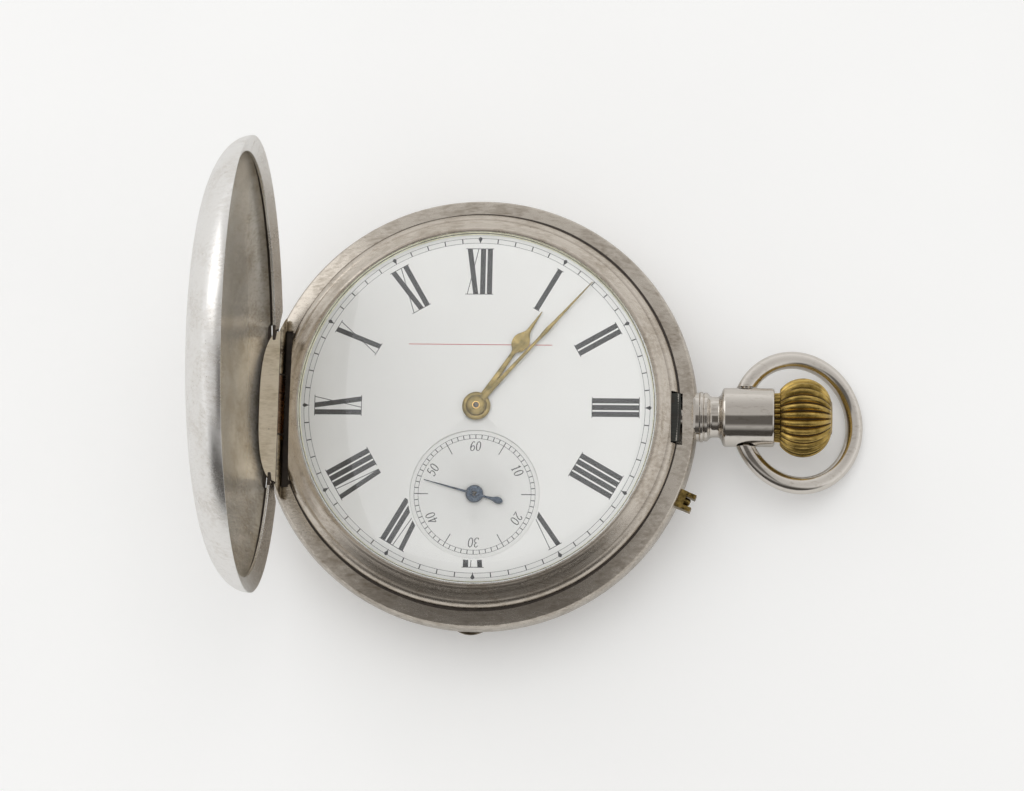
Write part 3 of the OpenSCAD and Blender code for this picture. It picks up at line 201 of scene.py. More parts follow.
def piece_from(name, bm, sharp=32, matrix=None):
    """Closed mesh object in metres from a bmesh in millimetres"""
    if matrix is not None:
        bm.transform(matrix)
    bm.transform(Matrix.Scale(mm, 4))
    bmesh.ops.recalc_face_normals(bm, faces=bm.faces)
    mesh = bpy.data.meshes.new(name)
    bm.to_mesh(mesh)
    bm.free()
    mesh.shade_smooth()
    mesh.set_sharp_from_angle(angle=math.radians(sharp))
    piece = bpy.data.objects.new(name, mesh)
    bpy.context.scene.collection.objects.link(piece)
    return piece


def turned(profile, steps=256, closed=True):
    """bmesh turned about Z from [radius, height] points. An open profile ends on the axis."""
    bm = bmesh.new()
    rows = []
    for r, z in profile:
        if r < 1e-6:
            rows.append([bm.verts.new((0, 0, z))] * steps)
        else:
            rows.append([bm.verts.new((r * math.cos(2 * math.pi * k / steps),
                                       r * math.sin(2 * math.pi * k / steps), z)) for k in range(steps)])
    pairs = list(zip(rows, rows[1:]))
    if closed:
        pairs.append((rows[-1], rows[0]))
    for a, b in pairs:
        for k in range(steps):
            n = (k + 1) % steps
            corner = [a[k], a[n], b[n], b[k]]
            face = [v for i, v in enumerate(corner) if v not in corner[:i]]
            if len(face) > 2:
                bm.faces.new(face)
    return bm


def slab(x0, x1, y0, y1, z0, z1):
    """bmesh of a block between six planes"""
    bm = bmesh.new()
    v = [bm.verts.new((x, y, z)) for z in (z0, z1) for x, y in ((x0, y0), (x1, y0), (x1, y1), (x0, y1))]
    for f in ((0, 1, 2, 3), (4, 5, 6, 7), (0, 1, 5, 4), (1, 2, 6, 5), (2, 3, 7, 6), (3, 0, 4, 7)):
        bm.faces.new([v[i] for i in f])
    return bm


def rod(r, z0, z1, steps=48):
    """bmesh of a round rod along Z"""
    return turned([(0, z0), (r, z0), (r, z1), (0, z1)], steps, closed=False)


def rod_y(r, y0, y1, x=0, z=0):
    """bmesh of a round rod along Y"""
    bm = rod(r, y0, y1)
    bm.transform(Matrix.Translation((x, 0, z)) @ Matrix.Rotation(math.radians(-90), 4, "X"))
    return bm


def carve(piece, bm, how="DIFFERENCE", matrix=None):
    """Cuts, joins or intersects a piece with a bmesh in millimetres, and applies it"""
    tool = piece_from("tool", bm, matrix=matrix)
    step = piece.modifiers.new("carve", "BOOLEAN")
    step.operation, step.solver, step.object = how, "EXACT", tool
    shape = bpy.data.meshes.new_from_object(piece.evaluated_get(bpy.context.evaluated_depsgraph_get()))
    piece.modifiers.clear()
    old, piece.data = piece.data, shape
    bpy.data.meshes.remove(old)
    bpy.data.objects.remove(tool)


def finish_edges(piece, sharp=32):
    """Smooth shading again after cutting, with crisp edges kept"""
    piece.data.shade_smooth()
    piece.data.set_sharp_from_angle(angle=math.radians(sharp))
    step = piece.modifiers.new("even_shading", "WEIGHTED_NORMAL")
    step.keep_sharp = True


def around(angle):
    """Turn about the watch's axis, in degrees"""
    return Matrix.Rotation(math.radians(angle), 4, "Z")


def move(piece, matrix):
    """Moves a finished mesh by a matrix in millimetres"""
    piece.data.transform(Matrix.Scale(mm, 4) @ matrix @ Matrix.Scale(1 / mm, 4))


def dress(piece, finish, body):
    """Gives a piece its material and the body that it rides"""
    piece.data.materials.append(finish)
    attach(piece, body)


# Worn sterling silver: rubbed bright for years, with a thin warm tarnish in streaks and
# clouds, scratches about 0.06 mm wide, and small pits. Turned parts also have a fine grain
# round their axis.


def worn_silver(name, bright, dull, rough, tarnish=0.5, grain=0.0, scratched=0.14):
    """Silver between a rubbed and a tarnished colour. grain is the strength of turning lines."""
    material, tree, shader, place = new_material(name)
    # Clouds of tarnish about 4 mm across, and short streaks of 1.3 mm by 0.35 mm in them
    cloud = add(tree, "TexNoise", {"Vector": place, "Scale": 1 / (4 * mm), "Detail": 4.0, "Roughness": 0.6})
    drawn = add(tree, "Mapping", {"Vector": place, "Rotation": (0.4, 0.3, 0.9), "Scale": (
        1 / (1.3 * mm), 1 / (0.35 * mm), 1 / (0.35 * mm))})
    streak = add(tree, "TexNoise", {"Vector": drawn, "Scale": 1.0, "Detail": 4.0, "Roughness": 0.65})
    mix = add(tree, "Mix", {0: 0.5, 2: cloud, 3: streak})
    amount = add(tree, "MapRange", {"Value": mix, "From Min": 0.53 - 0.15 * tarnish,
                                    "From Max": 0.72 - 0.1 * tarnish})
    colour = add(tree, "Mix", {0: amount, 6: bright, 7: dull}, data_type="RGBA")
    # Pits: dark specks about 0.2 mm across, where the tarnish is
    speck = add(tree, "TexVoronoi", {"Vector": place, "Scale": 1 / (1.3 * mm)})
    pit = add(tree, "MapRange", {"Value": speck.outputs["Distance"], "From Min": 0.04,
                                 "From Max": 0.1, "To Min": 0.8, "To Max": 0.0})
    rare = add(tree, "Math", {0: pit, 1: amount}, operation="MULTIPLY")
    shade = add(tree, "Mix", {0: rare, 6: colour.outputs[2], 7: "4A4038"}, data_type="RGBA")
    # Scratches: noise stretched thirty times along two directions
    height = rare
    for turn in (25, 112):
        aim = add(tree, "Mapping", {"Vector": place, "Rotation": (0.3, 0.2, math.radians(turn)),
                                    "Scale": (1 / (1.8 * mm), 1 / (0.06 * mm), 1 / (0.06 * mm))})
        line = add(tree, "TexNoise", {"Vector": aim, "Scale": 1.0, "Detail": 1.0})
        cut = add(tree, "MapRange", {"Value": line, "From Min": 0.6, "From Max": 0.74})
        height = add(tree, "Math", {0: height, 1: cut}, operation="ADD")
    # Turning lines: noise over the distance from the axis and the height, about 0.08 mm apart
    part = add(tree, "SeparateXYZ", {"Vector": place})
    flat = add(tree, "CombineXYZ", {"X": part.outputs["X"], "Y": part.outputs["Y"]})
    radius = add(tree, "VectorMath", {0: flat}, operation="LENGTH")
    angle = add(tree, "Math", {0: part.outputs["Y"], 1: part.outputs["X"]}, operation="ARCTAN2")
    arc = add(tree, "Math", {0: angle, 1: 0.004}, operation="MULTIPLY")
    polar = add(tree, "CombineXYZ", {"X": radius.outputs["Value"], "Y": arc, "Z": part.outputs["Z"]})
    lathe = add(tree, "TexNoise", {"Vector": polar, "Scale": 1 / (0.16 * mm), "Detail": 2.0})
    turned_line = add(tree, "Math", {0: lathe, 1: 4 * grain}, operation="MULTIPLY")
    height = add(tree, "Math", {0: height, 1: turned_line}, operation="ADD")
    # Gentle unevenness of hand-raised sheet, about 7 mm from crest to crest
    swell = add(tree, "TexNoise", {"Vector": place, "Scale": 1 / (7 * mm), "Detail": 1.0})
    form = add(tree, "Bump", {"Height": swell, "Strength": 0.25, "Distance": 0.3 * mm})
    bump = add(tree, "Bump", {"Height": height, "Strength": scratched, "Distance": 0.02 * mm,
                              "Normal": form}, invert=True)
    gloss = add(tree, "MapRange", {"Value": mix, "From Min": 0.35, "From Max": 0.65,
                                   "To Min": rough * 0.85, "To Max": rough * 1.25})
    feed(tree, shader, {"Base Color": shade.outputs[2], "Roughness": gloss, "Normal": bump,
                        "Metallic": 1.0})
    return material


case_silver = worn_silver("sterling_silver_worn", "CDC5BA", "9A8F81", 0.27, 0.5, 0.12)


def mottled(name, one, other, wide, detail, surface):
    """Material between two colours in patches about as wide as given, in millimetres"""
    material, tree, shader, place = new_material(name)
    patch = add(tree, "TexNoise", {"Vector": place, "Scale": 1 / (wide * mm), "Detail": detail})
    tone = add(tree, "Mix", {0: patch, 6: one, 7: other}, data_type="RGBA")
    feed(tree, shader, {"Base Color": tone.outputs[2], **surface})
    return material


# Black crumbs of dirt and old polish, matt in the seams. The same near-black colour is also painted shade,
# where it lines recesses and gaps that lie in shadow
dirt_and_shade = mottled("seam_dirt_and_shade", "1C1713", "4A3F35", 0.9, 4.0, {"Roughness": 0.6})

flange_r, bulge, band_half, mid_z = 25.84, 0.56, 2.14, 7.5
flange_z, seam_r, seam_z, low_seam_z = 9.64, 24.15, 10.35, 4.65
# The front joint's pin in X and Z, the gap between its outer knuckles, and its half length
joint, gap, joint_half = (-24.35, 10.2), (-3.3, 4.0), 9.6
# Height of the pendant, place of the push piece, and turn of the dust cover's thumb lip
pend_z, pin_z, pin_turn, lip_turn = 7.3, 8.2, -22.8, -136
lay_along_x = Matrix.Rotation(math.radians(90), 4, "Y")
along_x = Matrix.Translation((0, 0, pend_z)) @ lay_along_x
at_pin = around(pin_turn) @ Matrix.Translation((0, 0, pin_z)) @ lay_along_x
# The back's joint is the front's, mirrored in the middle of the band
flip_z = Matrix.Translation((0, 0, 2 * mid_z)) @ Matrix.Scale(-1, 4, (0, 0, 1))

outside = [(flange_r + bulge * math.cos(math.radians(a)), mid_z + band_half * math.sin(math.radians(a)))
           for a in range(90, -91, -6)]
within = [(seam_r, low_seam_z), (24.0, low_seam_z), (24.0, 5.15), (22.8, 5.15), (22.8, 6.15), (25.3, 6.15),
          (25.3, 8.4), (23.3, 8.4), (23.3, 8.7), (22.3, 8.7), (22.3, 9.6), (22.9, 9.6), (22.9, 11.0),
          (23.5, 11.0), (23.5, seam_z), (seam_r, seam_z)]
band = piece_from("band", turned(curve_back(outside + within, 0.07, least=25)))
for side in (None, flip_z):
    carve(band, rod_y(1.06, *gap, *joint), matrix=side)
    relief = piece_from("relief", rod_y(1.7, -joint_half, joint_half, *joint), matrix=side)
    carve(relief, slab(joint[0] - 3, joint[0], -24, 24, mid_z, 14), "INTERSECT", side)
    bm = bmesh.new()
    bm.from_mesh(relief.data)
    bm.transform(Matrix.Scale(1 / mm, 4))
    bpy.data.objects.remove(relief)
    carve(band, bm)
    carve(band, slab(joint[0], -22.6, -joint_half, joint_half, 9.7, 12), matrix=side)
    carve(band, slab(joint[0] - 3, joint[0] - 1.2, -4, 4, 9.15, 11), matrix=side)
# Hole for the pendant, slot for the catch, hole for the push piece, notch for the dust cover
carve(band, rod(1.6, 25.0, 28, 64), matrix=along_x)
carve(band, slab(21.7, 24.55, -4.0, 2.25, mid_z, 12))
carve(band, rod(0.48, 22.3, 28.3, 32), matrix=at_pin)
carve(band, slab(22.9, 27.4, -1.65, 1.65, 0, 5.75), matrix=around(lip_turn))
finish_edges(band)
dress(band, case_silver, "case")
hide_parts("case_middle")
# Painted shade: the floor of the joint's notch, and its walls that face out, take the dark seam colour for
# the deep recess under the knuckles
band.data.materials.append(dirt_and_shade)
for face in band.data.polygons:
    x, y, z = face.center / mm
    floor = face.normal.z > 0.5 or face.normal.x < -0.9
    if floor and x < -22.5 and abs(y) < joint_half and 9.6 < z < 11.2:
        face.material_index = 1

# The knuckles of the band are short tubes, with dirt packed between them and the covers'.
# Old oil has turned them brown.
joint_silver_and_lip_shade = worn_silver("silver_joint_browned_and_lip_shade", "C9BDA7", "5A5044", 0.22, 0.7)
for name, side in (("front", None), ("back", flip_z)):
    for level, y0, y1 in (("low", -12, gap[0]), ("high", gap[1], 12)):
        tube = piece_from(f"band_knuckle_{name}_{level}", rod_y(1.0, y0, y1, *joint), matrix=side)
        carve(tube, rod(25.9, 0, 15, 256), "INTERSECT")
        carve(tube, rod_y(0.4, y0 - 1, y1 + 1, *joint), matrix=side)
        finish_edges(tube)
        dress(tube, joint_silver_and_lip_shade, "case")
    bits = piece_from(f"joint_dirt_{name}", rod_y(1.03, -3.42, -3.2, *joint), matrix=side)
    carve(bits, rod_y(1.03, 3.92, 4.12, *joint), "UNION", side)
    carve(bits, rod_y(0.45, -5, 5, *joint), matrix=side)
    carve(bits, rod(25.95, 0, 15, 256), "INTERSECT")
    finish_edges(bits)
    dress(bits, dirt_and_shade, "case")
# Two ears of the band hold the dust cover's pin
dust_pin = (-21.8, 4.75)
for level, y in (("low", -3.3), ("high", 3.3)):
    ear = piece_from(f"dust_cover_ear_{level}", rod_y(0.5, y - 1.2, y + 1.2, *dust_pin))
    for x0, z0 in ((-22.45, dust_pin[1]), (-23.25, 5.4)):
        carve(ear, slab(x0, -21.5, y - 1.2, y + 1.2, z0, 5.95), "UNION")
    carve(ear, rod_y(0.2, y - 2, y + 2, *dust_pin))
    finish_edges(ear)
    dress(ear, case_silver, "case")

# Bezel
# A turned silver ring that snaps over the band's neck. A step divides its sloping outside,
# and its inner lip holds the glass. It has been thumbed open often, so it is the most rubbed.
bezel_silver = worn_silver("sterling_silver_rubbed", "CFC6BA", "A89C8D", 0.24, 0.45, 0.22)
bezel_profile = [(24.1, 10.4), (24.08, 10.75), (23.98, 11.05), (23.75, 11.4), (23.5, 11.62), (23.22, 11.79),
                 (23.14, 11.8), (22.95, 11.96), (22.7, 12.12), (22.5, 12.3), (22.2, 12.62), (21.95, 12.88),
                 (21.75, 12.98), (21.6, 13.0), (21.5, 12.95), (21.5, 12.77), (21.8, 12.77), (21.8, 12.55),
                 (21.5, 12.55), (21.5, 12.35), (22.0, 12.25), (22.0, 11.05), (23.55, 11.05), (23.55, 10.4)]
bezel = piece_from("bezel_ring", turned(curve_back(bezel_profile, 0.05, least=28)))
carve(bezel, slab(-25.15, -22.5, -24, 24, 10.35, 15.2))
carve(bezel, slab(22.3, 25.15, -4.0, 2.25, 10.35, 11.43))
carve(bezel, slab(23.2, 25.15, -4.0, 2.25, 11.2, 12.5))
finish_edges(bezel)
dress(bezel, bezel_silver, "case")
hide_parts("bezel")
# Its inner lip slopes down to the dial under the glass, and old lacquer has yellowed it
lip_silver = worn_silver("lacquered_lip", "E3E2C8", "BDBB98", 0.3, 0.3)
profile = [(21.12, 12.23), (21.6, 12.23), (21.6, 12.5), (21.5, 12.5), (21.3, 12.36), (21.12, 12.27)]
lip = piece_from("bezel_lip", turned(profile))
dress(lip, lip_silver, "case")
# Dark dirt and polish residue in the seam between the bezel and the band, and painted shade for the seam's
# shadow
bm = bmesh.new()
rows = []
for degrees in range(360):
    a = math.radians(degrees)
    # The line is widest at the upper right and the foot, and thin by the pendant
    wide = (0.1 + 0.2 * max(0, math.cos(a - math.radians(50))) ** 3
            + 0.14 * max(0, math.cos(a + math.radians(95))) ** 2
            + 0.02 * math.sin(7 * a) + 0.015 * math.sin(17 * a))
    # It stands up against the bezel and lies thin on the flange, so the closed lid's rim clears it
    section = ((24.0, 10.38), (24.12, 10.38 + wide * 0.9), (24.16, 10.372),
               (24.15 + wide, 10.368 - 0.42 * wide), (24.12, 10.3))
    rows.append([bm.verts.new((r * math.cos(a), r * math.sin(a), z)) for r, z in section])
for here, ahead in zip(rows, rows[1:] + rows[:1]):
    for i in range(5):
        n = (i + 1) % 5
        bm.faces.new([here[i], here[n], ahead[n], ahead[i]])
seam = piece_from("bezel_seam_shadow_and_dirt", bm)
carve(seam, slab(-25.6, -22.45, -24, 24, 10, 12))
finish_edges(seam)
dress(seam, dirt_and_shade, "case")

# Crystal
# A low domed watch glass, ground to a bevel where it snaps into the bezel's groove. Only
# its reflections show.
clear_glass, tree, shader, place = new_material("watch_glass")
smear = add(tree, "TexNoise", {"Vector": place, "Scale": 1 / (9 * mm), "Detail": 2.0})
polish = add(tree, "MapRange", {"Value": smear, "From Min": 0.3, "From Max": 0.8, "To Max": 0.05})
feed(tree, shader, {"Base Color": (1, 1, 1, 1), "Roughness": polish, "IOR": 1.45,
                    "Transmission Weight": 1.0})
# Shadow rays pass, as light does through a thin glass
ray = add(tree, "LightPath")
passes = add(tree, "BsdfTransparent", {"Color": (0.97, 0.97, 0.97, 1)})
joined = add(tree, "MixShader", {0: ray.outputs["Is Shadow Ray"], 1: shader, 2: passes})
feed(tree, tree.nodes["Material Output"], {"Surface": joined})


def superellipse(r, h, power, count=40, last=90, first=0):
    """Dome from its rim at height 0 up to height h on the axis"""
    points = []
    for i in range(count + 1):
        t = math.radians(last + (first - last) * i / count)
        points.append((r * math.sin(t) ** (2 / power) if t > 1e-9 else 0.0,
                       h * math.cos(t) / math.cos(math.radians(first))))
    return points


glass_z, glass_r = 12.56, 21.78
top = [(r, z + 0.2) for r, z in superellipse(glass_r - 0.3, 1.45, 6)]
under = superellipse(glass_r - 0.6, 1.15, 6)[::-1]
profile = [*under, (glass_r, 0), (glass_r, 0.2), *top]
glass = piece_from("crystal_glass", turned(profile, 192, closed=False), 40,
                   Matrix.Translation((0, 0, glass_z)))
dress(glass, clear_glass, "case")
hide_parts("crystal")

# Front lid
# The solid hunter lid is pressed from silver sheet, with a snap rim folded inside its edge
# and a strap soldered across the joint. It stands open, and its knuckle turns on a steel pin.
lid_silver = worn_silver("sterling_silver_lid", "F0EEEB", "DAD5CE", 0.24, 0.4)
lid_inside = worn_silver("tarnished_silver_lid_inside", "FBF5E9", "C7BAA4", 0.22, 0.5)
strap_silver = worn_silver("rubbed_silver_strap", "F4E9D5", "D2C5AC", 0.4, 0.4)
# The knuckle has rubbed down to the copper in the silver
joint_copper = worn_silver("silver_joint_worn_to_copper", "A58A74", "4A3A30", 0.25, 0.7)
# The tarnish inside is a film that scatters some light
for material in (lid_inside, strap_silver):
    tree = material.node_tree
    feed(tree, tree.nodes["Principled BSDF"], {"Metallic": 0.72})
cover_r, wall, rim_r, fold_z = 25.99, 0.45, 24.2, 1.35
strap_x, strap_t, strap_half = -23.15, 0.35, 9.25
joint_up, strap_top = joint[1] - flange_z, 1.66


def prisms(outlines, z0, z1):
    """bmesh of flat shapes drawn as lists of (x, y) points"""
    bm = bmesh.new()
    for points in outlines:
        low = [bm.verts.new((x, y, z0)) for x, y in points]
        high = [bm.verts.new((x, y, z1)) for x, y in points]
        bm.faces.new(low[::-1])
        bm.faces.new(high)
        for k in range(len(points)):
            n = (k + 1) % len(points)
            bm.faces.new([low[k], low[n], high[n], high[k]])
    return bm


def cover_shell(h, power, flat):
    """Profile of a closed cover, with height 0 at the edge of its flange"""
    start = math.degrees(math.asin((flat / cover_r) ** (power / 2)))
    top = superellipse(cover_r, h, power, 56, first=start) + ([(0, h)] if flat else [])
    # The inside runs down to where the rim is folded in
    last = math.degrees(math.acos((fold_z / (h - wall)) ** (power / 2)))
    under = superellipse(cover_r - wall, h - wall, power, 60, last=last)[::-1]
    return curve_back(top + under + [(rim_r, 1.139), (rim_r, 0.739)], 0.06, least=25)


def cover(name, h, power, flat, outer_finish, inner_finish, place):
    """Shell, strap, shelf and knuckle of a cover, soldered together, in the closed position"""
    notch_half = 12.1
    shell = piece_from(f"{name}_shell", turned(cover_shell(h, power, flat)))
    carve(shell, slab(-27, strap_x, -notch_half, notch_half, -1, strap_top))
    carve(shell, slab(-27, strap_x + strap_t, -strap_half, strap_half, -1, strap_top))
    # The strap stands across the joint, with its ends sloped off to meet the rim. A dark outline a little
    # larger than the strap, just behind it, is painted shadow round its edge.
    upright = Matrix(((0, 0, 1, 0), (1, 0, 0, 0), (0, 1, 0, 0), (0, 0, 0, 1)))
    outlines = []
    for more in (0, 0.13):
        wide, foot = strap_half + more, joint_up - 0.4
        bow_of_strap = [(wide * u, joint_up - 0.35 + (2.2 + more) * (1 - abs(u) ** 3) ** 0.5)
                        for u in (i / 20 - 1 for i in range(41))]
        outlines.append([(-wide, foot), *bow_of_strap, (wide, foot)])
    strap = piece_from(f"{name}_strap", prisms(outlines[:1], strap_x, strap_x + strap_t), matrix=upright)
    shadow_outline = piece_from(f"{name}_strap_shadow", prisms(outlines[1:], strap_x - 0.12, strap_x - 0.01),
                     matrix=upright)
    # The shelf closes the gap between the strap and the shell. It is dark all over, painted shade in that
    # gap.
    shelf = piece_from(f"{name}_shelf",
                       slab(-26.5, strap_x + 0.2, -notch_half, notch_half, strap_top - 0.3, strap_top))
    dome = superellipse(cover_r - wall / 2, h - wall / 2, power, 40)
    carve(shelf, turned([(0, -1), (25.765, -1), *dome], closed=False), "INTERSECT")
    low, high = -3.25, 3.95
    knuckle = piece_from(f"{name}_knuckle", rod_y(1.0, low, high, joint[0], joint_up))
    carve(knuckle, slab(joint[0], strap_x + 0.1, low, high, joint_up - 0.3, joint_up + 0.8), "UNION")
    carve(knuckle, rod_y(0.43, -12, 12, joint[0], joint_up))
    own_finish = {knuckle: joint_copper, strap: strap_silver, shadow_outline: dirt_and_shade}
    for piece in (shell, strap, shadow_outline, shelf, knuckle):
        piece.data.materials.clear()
        for finish in (own_finish.get(piece, outer_finish), inner_finish, dirt_and_shade):
            piece.data.materials.append(finish)
        for face in piece.data.polygons:
            centre = face.center / mm
            rim = centre.z < 0.78 or centre.xy.length < 24.3 and centre.z < 1.0
            inside = face.normal.dot(centre - Vector((0, 0, -5))) < 0 and not rim
            cut_end = centre.x < strap_x + 1.3 and centre.z < strap_top and (
                abs(face.normal.y) > 0.9 or abs(centre.y) < strap_half + 0.3)
            # Painted shade: the shelf, the shell's cut ends by the strap and its inside just above the folded
            # rim take the dark seam colour, for the shadows round the strap and in the rim's undercut
            if piece is shelf or piece is shell and (cut_end or inside and centre.z < 1.4):
                face.material_index = 2
            else:
                face.material_index = 1 if piece is shell and inside else 0
        move(piece, place)
        finish_edges(piece, 28)
    return shell, strap, shadow_outline, shelf, knuckle


to_joint = Matrix.Translation((joint[0], 0, joint[1]))
opened = to_joint @ Matrix.Rotation(math.radians(-90), 4, "Y") @ Matrix.Translation((-joint[0], 0, -joint_up))
lid_pieces = cover("lid", 5.5, 5, 0, lid_silver, lid_inside, opened)
for piece in lid_pieces:
    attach(piece, "lid")
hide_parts("front_lid")

# Back cover
# Raised from the same sheet as the lid, with a small flat that the watch rests on and a
# thumb lip on its edge. Years on tables have covered the flat with fine scratches.
back_silver = worn_silver("sterling_silver_back", "CFC6B9", "978A7A", 0.28, 0.7)
closed_back = flip_z @ Matrix.Translation((0, 0, flange_z))
back_pieces = cover("back", 5.36, 4, 9, back_silver, lid_inside, closed_back)
for piece in back_pieces:
    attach(piece, "back")
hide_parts("back_cover")
edge = [(26.5 - 0.5 * (y / 1.7) ** 2, y) for y in (0.17 * i - 1.7 for i in range(21))]
lip = piece_from("back_thumb_lip", prisms([[(25.6, -1.6), *edge, (25.6, 1.6)]], 0.05, 0.45),
                 matrix=around(-91.5))
move(lip, closed_back)
bevel = lip.modifiers.new("rubbed_edges", "BEVEL")
bevel.width, bevel.segments = 0.09 * mm, 3
finish_edges(lip)
# The lip takes the knuckles' darker browned silver as painted shade, for the shadow it lies in below the band
dress(lip, joint_silver_and_lip_shade, "back")

# Dust cover
# The inner cover over the movement, thinner and brighter because the back keeps it clean.
# Its small thumb lip shows through a notch in the band.
inner_silver = worn_silver("sterling_silver_clean", "DED8CE", "B5AA9B", 0.18, 0.3)
dust_r, dust_h, dust_wall, plate_x = 23.9, 3.7, 0.35, -21.25
down = Matrix.Translation((0, 0, 5.1)) @ Matrix.Scale(-1, 4, (0, 0, 1))
over = superellipse(dust_r, dust_h, 4, 48)
under = superellipse(dust_r - dust_wall, dust_h - dust_wall, 4, 40, last=85)[::-1]
profile = curve_back([*over, *under, (22.95, 0.35), (22.95, 0)], 0.05, least=25)
dust = piece_from("dust_cover_shell", turned(profile))
carve(dust, slab(-27, plate_x, -24, 24, -1, dust_h + 1))
plate = piece_from("dust_cover_strap", slab(plate_x, plate_x + dust_wall, -24, 24, 0.1, dust_h))
dome = superellipse(dust_r - 0.175, dust_h - 0.175, 4, 40)
carve(plate, turned([(0, -1), (23.725, -1), *dome], closed=False), "INTERSECT")
tube = piece_from("dust_cover_knuckle", rod_y(0.5, -2, 2, *dust_pin))
carve(tube, slab(dust_pin[0], plate_x + 0.1, -2, 2, 4.35, 5.05), "UNION")
carve(tube, rod_y(0.23, -3, 3, *dust_pin))
lip = piece_from("dust_cover_lip", slab(23.4, 26.3, -1.5, 1.5, 5.4, 5.65), matrix=around(lip_turn))
carve(lip, slab(23.4, 23.9, -1.5, 1.5, 4.8, 5.5), "UNION", around(lip_turn))
for piece in (dust, plate):
    move(piece, down)
for piece in (dust, plate, tube, lip):
    finish_edges(piece, 28)
    dress(piece, inner_silver, "dust_cover")
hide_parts("cuvette")

# Pendant
# Turned in the lathe and soldered on the band: a stepped collar, a narrow waist and a
# cylindrical head that is drilled for the bow. Fingers keep it bright.
bright_silver = worn_silver("sterling_silver_bright", "D8D2CA", "B5ADA1", 0.11, 0.1, scratched=0.03)
bow_x = 32.15
waist = [(2.45 + 1.1 * (2 * t - 1) ** 4 * (0.75 if t > 0.5 else 0.25), 27.7 + 1.6 * t)
         for t in (i / 24 for i in range(25))]
profile = [(0, 25.4), (2.95, 25.4), (2.95, 26.52), (3.05, 26.65), (3.05, 26.95), (2.85, 27.05), (2.95, 27.15),
           (2.95, 27.5), (2.75, 27.65), *waist, (3.45, 29.43), (3.55, 29.65), (3.55, 35.3), (3.47, 35.47),
           (3.25, 35.55), (0, 35.55)]
pendant = piece_from("pendant_turned", turned(curve_back(profile, 0.08, closed=False), 128, closed=False),
                     matrix=along_x)
# Its foot is filed to the band. Bores for the stem, the crown's neck and the ends of the bow.
core = [(0, 15), (26.11, 15), (26.11, 9.64), *outside, (26.11, 5.36), (26.11, 0), (0, 0)]
mouth = [(0, 34), (2.3, 34), (2.3, 34.7), (3.1, 34.7), (3.1, 40), (0, 40)]
carve(pendant, turned(core, closed=False))
carve(pendant, rod(0.7, 20, 40), matrix=along_x)
carve(pendant, turned(mouth, 96, closed=False), matrix=along_x)
for side in (-1, 1):
    carve(pendant, rod_y(0.65, side * 3.2 - 0.65, side * 3.2 + 0.65, bow_x, pend_z))
finish_edges(pendant)
spigot = piece_from("pendant_spigot", turned([(0.7, 22.9), (1.55, 22.9), (1.55, 26.7), (0.7, 26.7)], 64),
                    matrix=along_x)
for piece in (pendant, spigot):
    dress(piece, bright_silver, "case")
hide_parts("pendant")

# Bow
# Drawn silver wire bent to a ring and sprung into the two holes of the pendant. It droops
# to the table here.
bow_silver = worn_silver("sterling_silver_wire", "DCD6CE", "B9B1A5", 0.14, 0.1, scratched=0.03)
ring_r, wire_r, ring_u, droop = 7.7, 1.05, 6.78, 25
hang = Matrix.Translation((bow_x, 0, pend_z)) @ Matrix.Rotation(math.radians(droop), 4, "Y")
wire = [(ring_r + wire_r * math.cos(2 * math.pi * k / 36), wire_r * math.sin(2 * math.pi * k / 36))
        for k in range(36)]
bow = piece_from("bow_ring", turned(wire, 160), matrix=Matrix.Translation((ring_u, 0, 0)))
carve(bow, slab(-8, ring_u, -3.65, 3.65, -2, 2))
for side in (-1, 1):
    carve(bow, rod_y(0.6, side * 3.35 - 0.6, side * 3.35 + 0.6), "UNION")
move(bow, hang)
finish_edges(bow)
dress(bow, bow_silver, "bow")
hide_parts("bow")

# Crown
# Turned brass with 26 milled grooves over its round shoulder, so that it can be gripped.
# Its gilding has gone from the tops of the ribs, and dirt has filled the grooves.


def aged_brass(name, worn, grimed, rough, spread=2.5):
    """Brass between a rubbed yellow and a dirty brown in cloudy patches"""
    material, tree, shader, place = new_material(name)
    cloud = add(tree, "TexNoise", {"Vector": place, "Scale": 1 / (spread * mm), "Detail": 5.0,
                                   "Roughness": 0.65})
    spread_of = add(tree, "MapRange", {"Value": cloud, "From Min": 0.38, "From Max": 0.66})
    colour = add(tree, "Mix", {0: spread_of, 6: worn, 7: grimed}, data_type="RGBA")
    grain = add(tree, "TexNoise", {"Vector": place, "Scale": 1 / (0.12 * mm), "Detail": 2.0})
    gloss = add(tree, "MapRange", {"Value": cloud, "From Min": 0.3, "From Max": 0.7,
                                   "To Min": rough, "To Max": rough + 0.16})
    bump = add(tree, "Bump", {"Height": grain, "Strength": 0.1, "Distance": 0.02 * mm})
    feed(tree, shader, {"Base Color": colour.outputs[2], "Roughness": gloss, "Normal": bump,
                        "Metallic": 1.0})
    return material


crown_brass = aged_brass("rubbed_brass", "D2B368", "7E6834", 0.15)
# Hard brown grease in the grooves
groove_dirt = mottled("groove_dirt", "2B2116", "5B4526", 0.4, 3.0, {"Roughness": 0.75})
ribs, groove, neck_end = 26, 0.55, 35.56
steps = ribs * 12
collar = [(2.93, neck_end), (2.95, 35.8), (2.97, 36.05), (3.0, 36.18)]
onion = [(1.3 + 3.45 * math.sin(a), 38.95 + 3.45 * math.cos(a))
         for a in (math.radians(142.9 + (11.7 - 142.9) * i / 48) for i in range(49))]
bm = bmesh.new()


def crown_ring(r, x, deep=0.0):
    """Ring of points of the crown at a height, with grooves as deep as given"""
    ring = []
    for k in range(steps):
        turn = 2 * math.pi * k / steps
        here = r - deep * (1 - abs(math.sin(ribs * turn / 2)))
        ring.append(bm.verts.new((here * math.cos(turn), here * math.sin(turn), x)))
    return ring


# The grooves start shallow in the collar and run out before the crown's flat end
grooved = [crown_ring(r, x, groove * min(1, 0.5 + i / 20) * min(1, max(0, (51 - i) / 6)))
           for i, (r, x) in enumerate(collar + onion)]
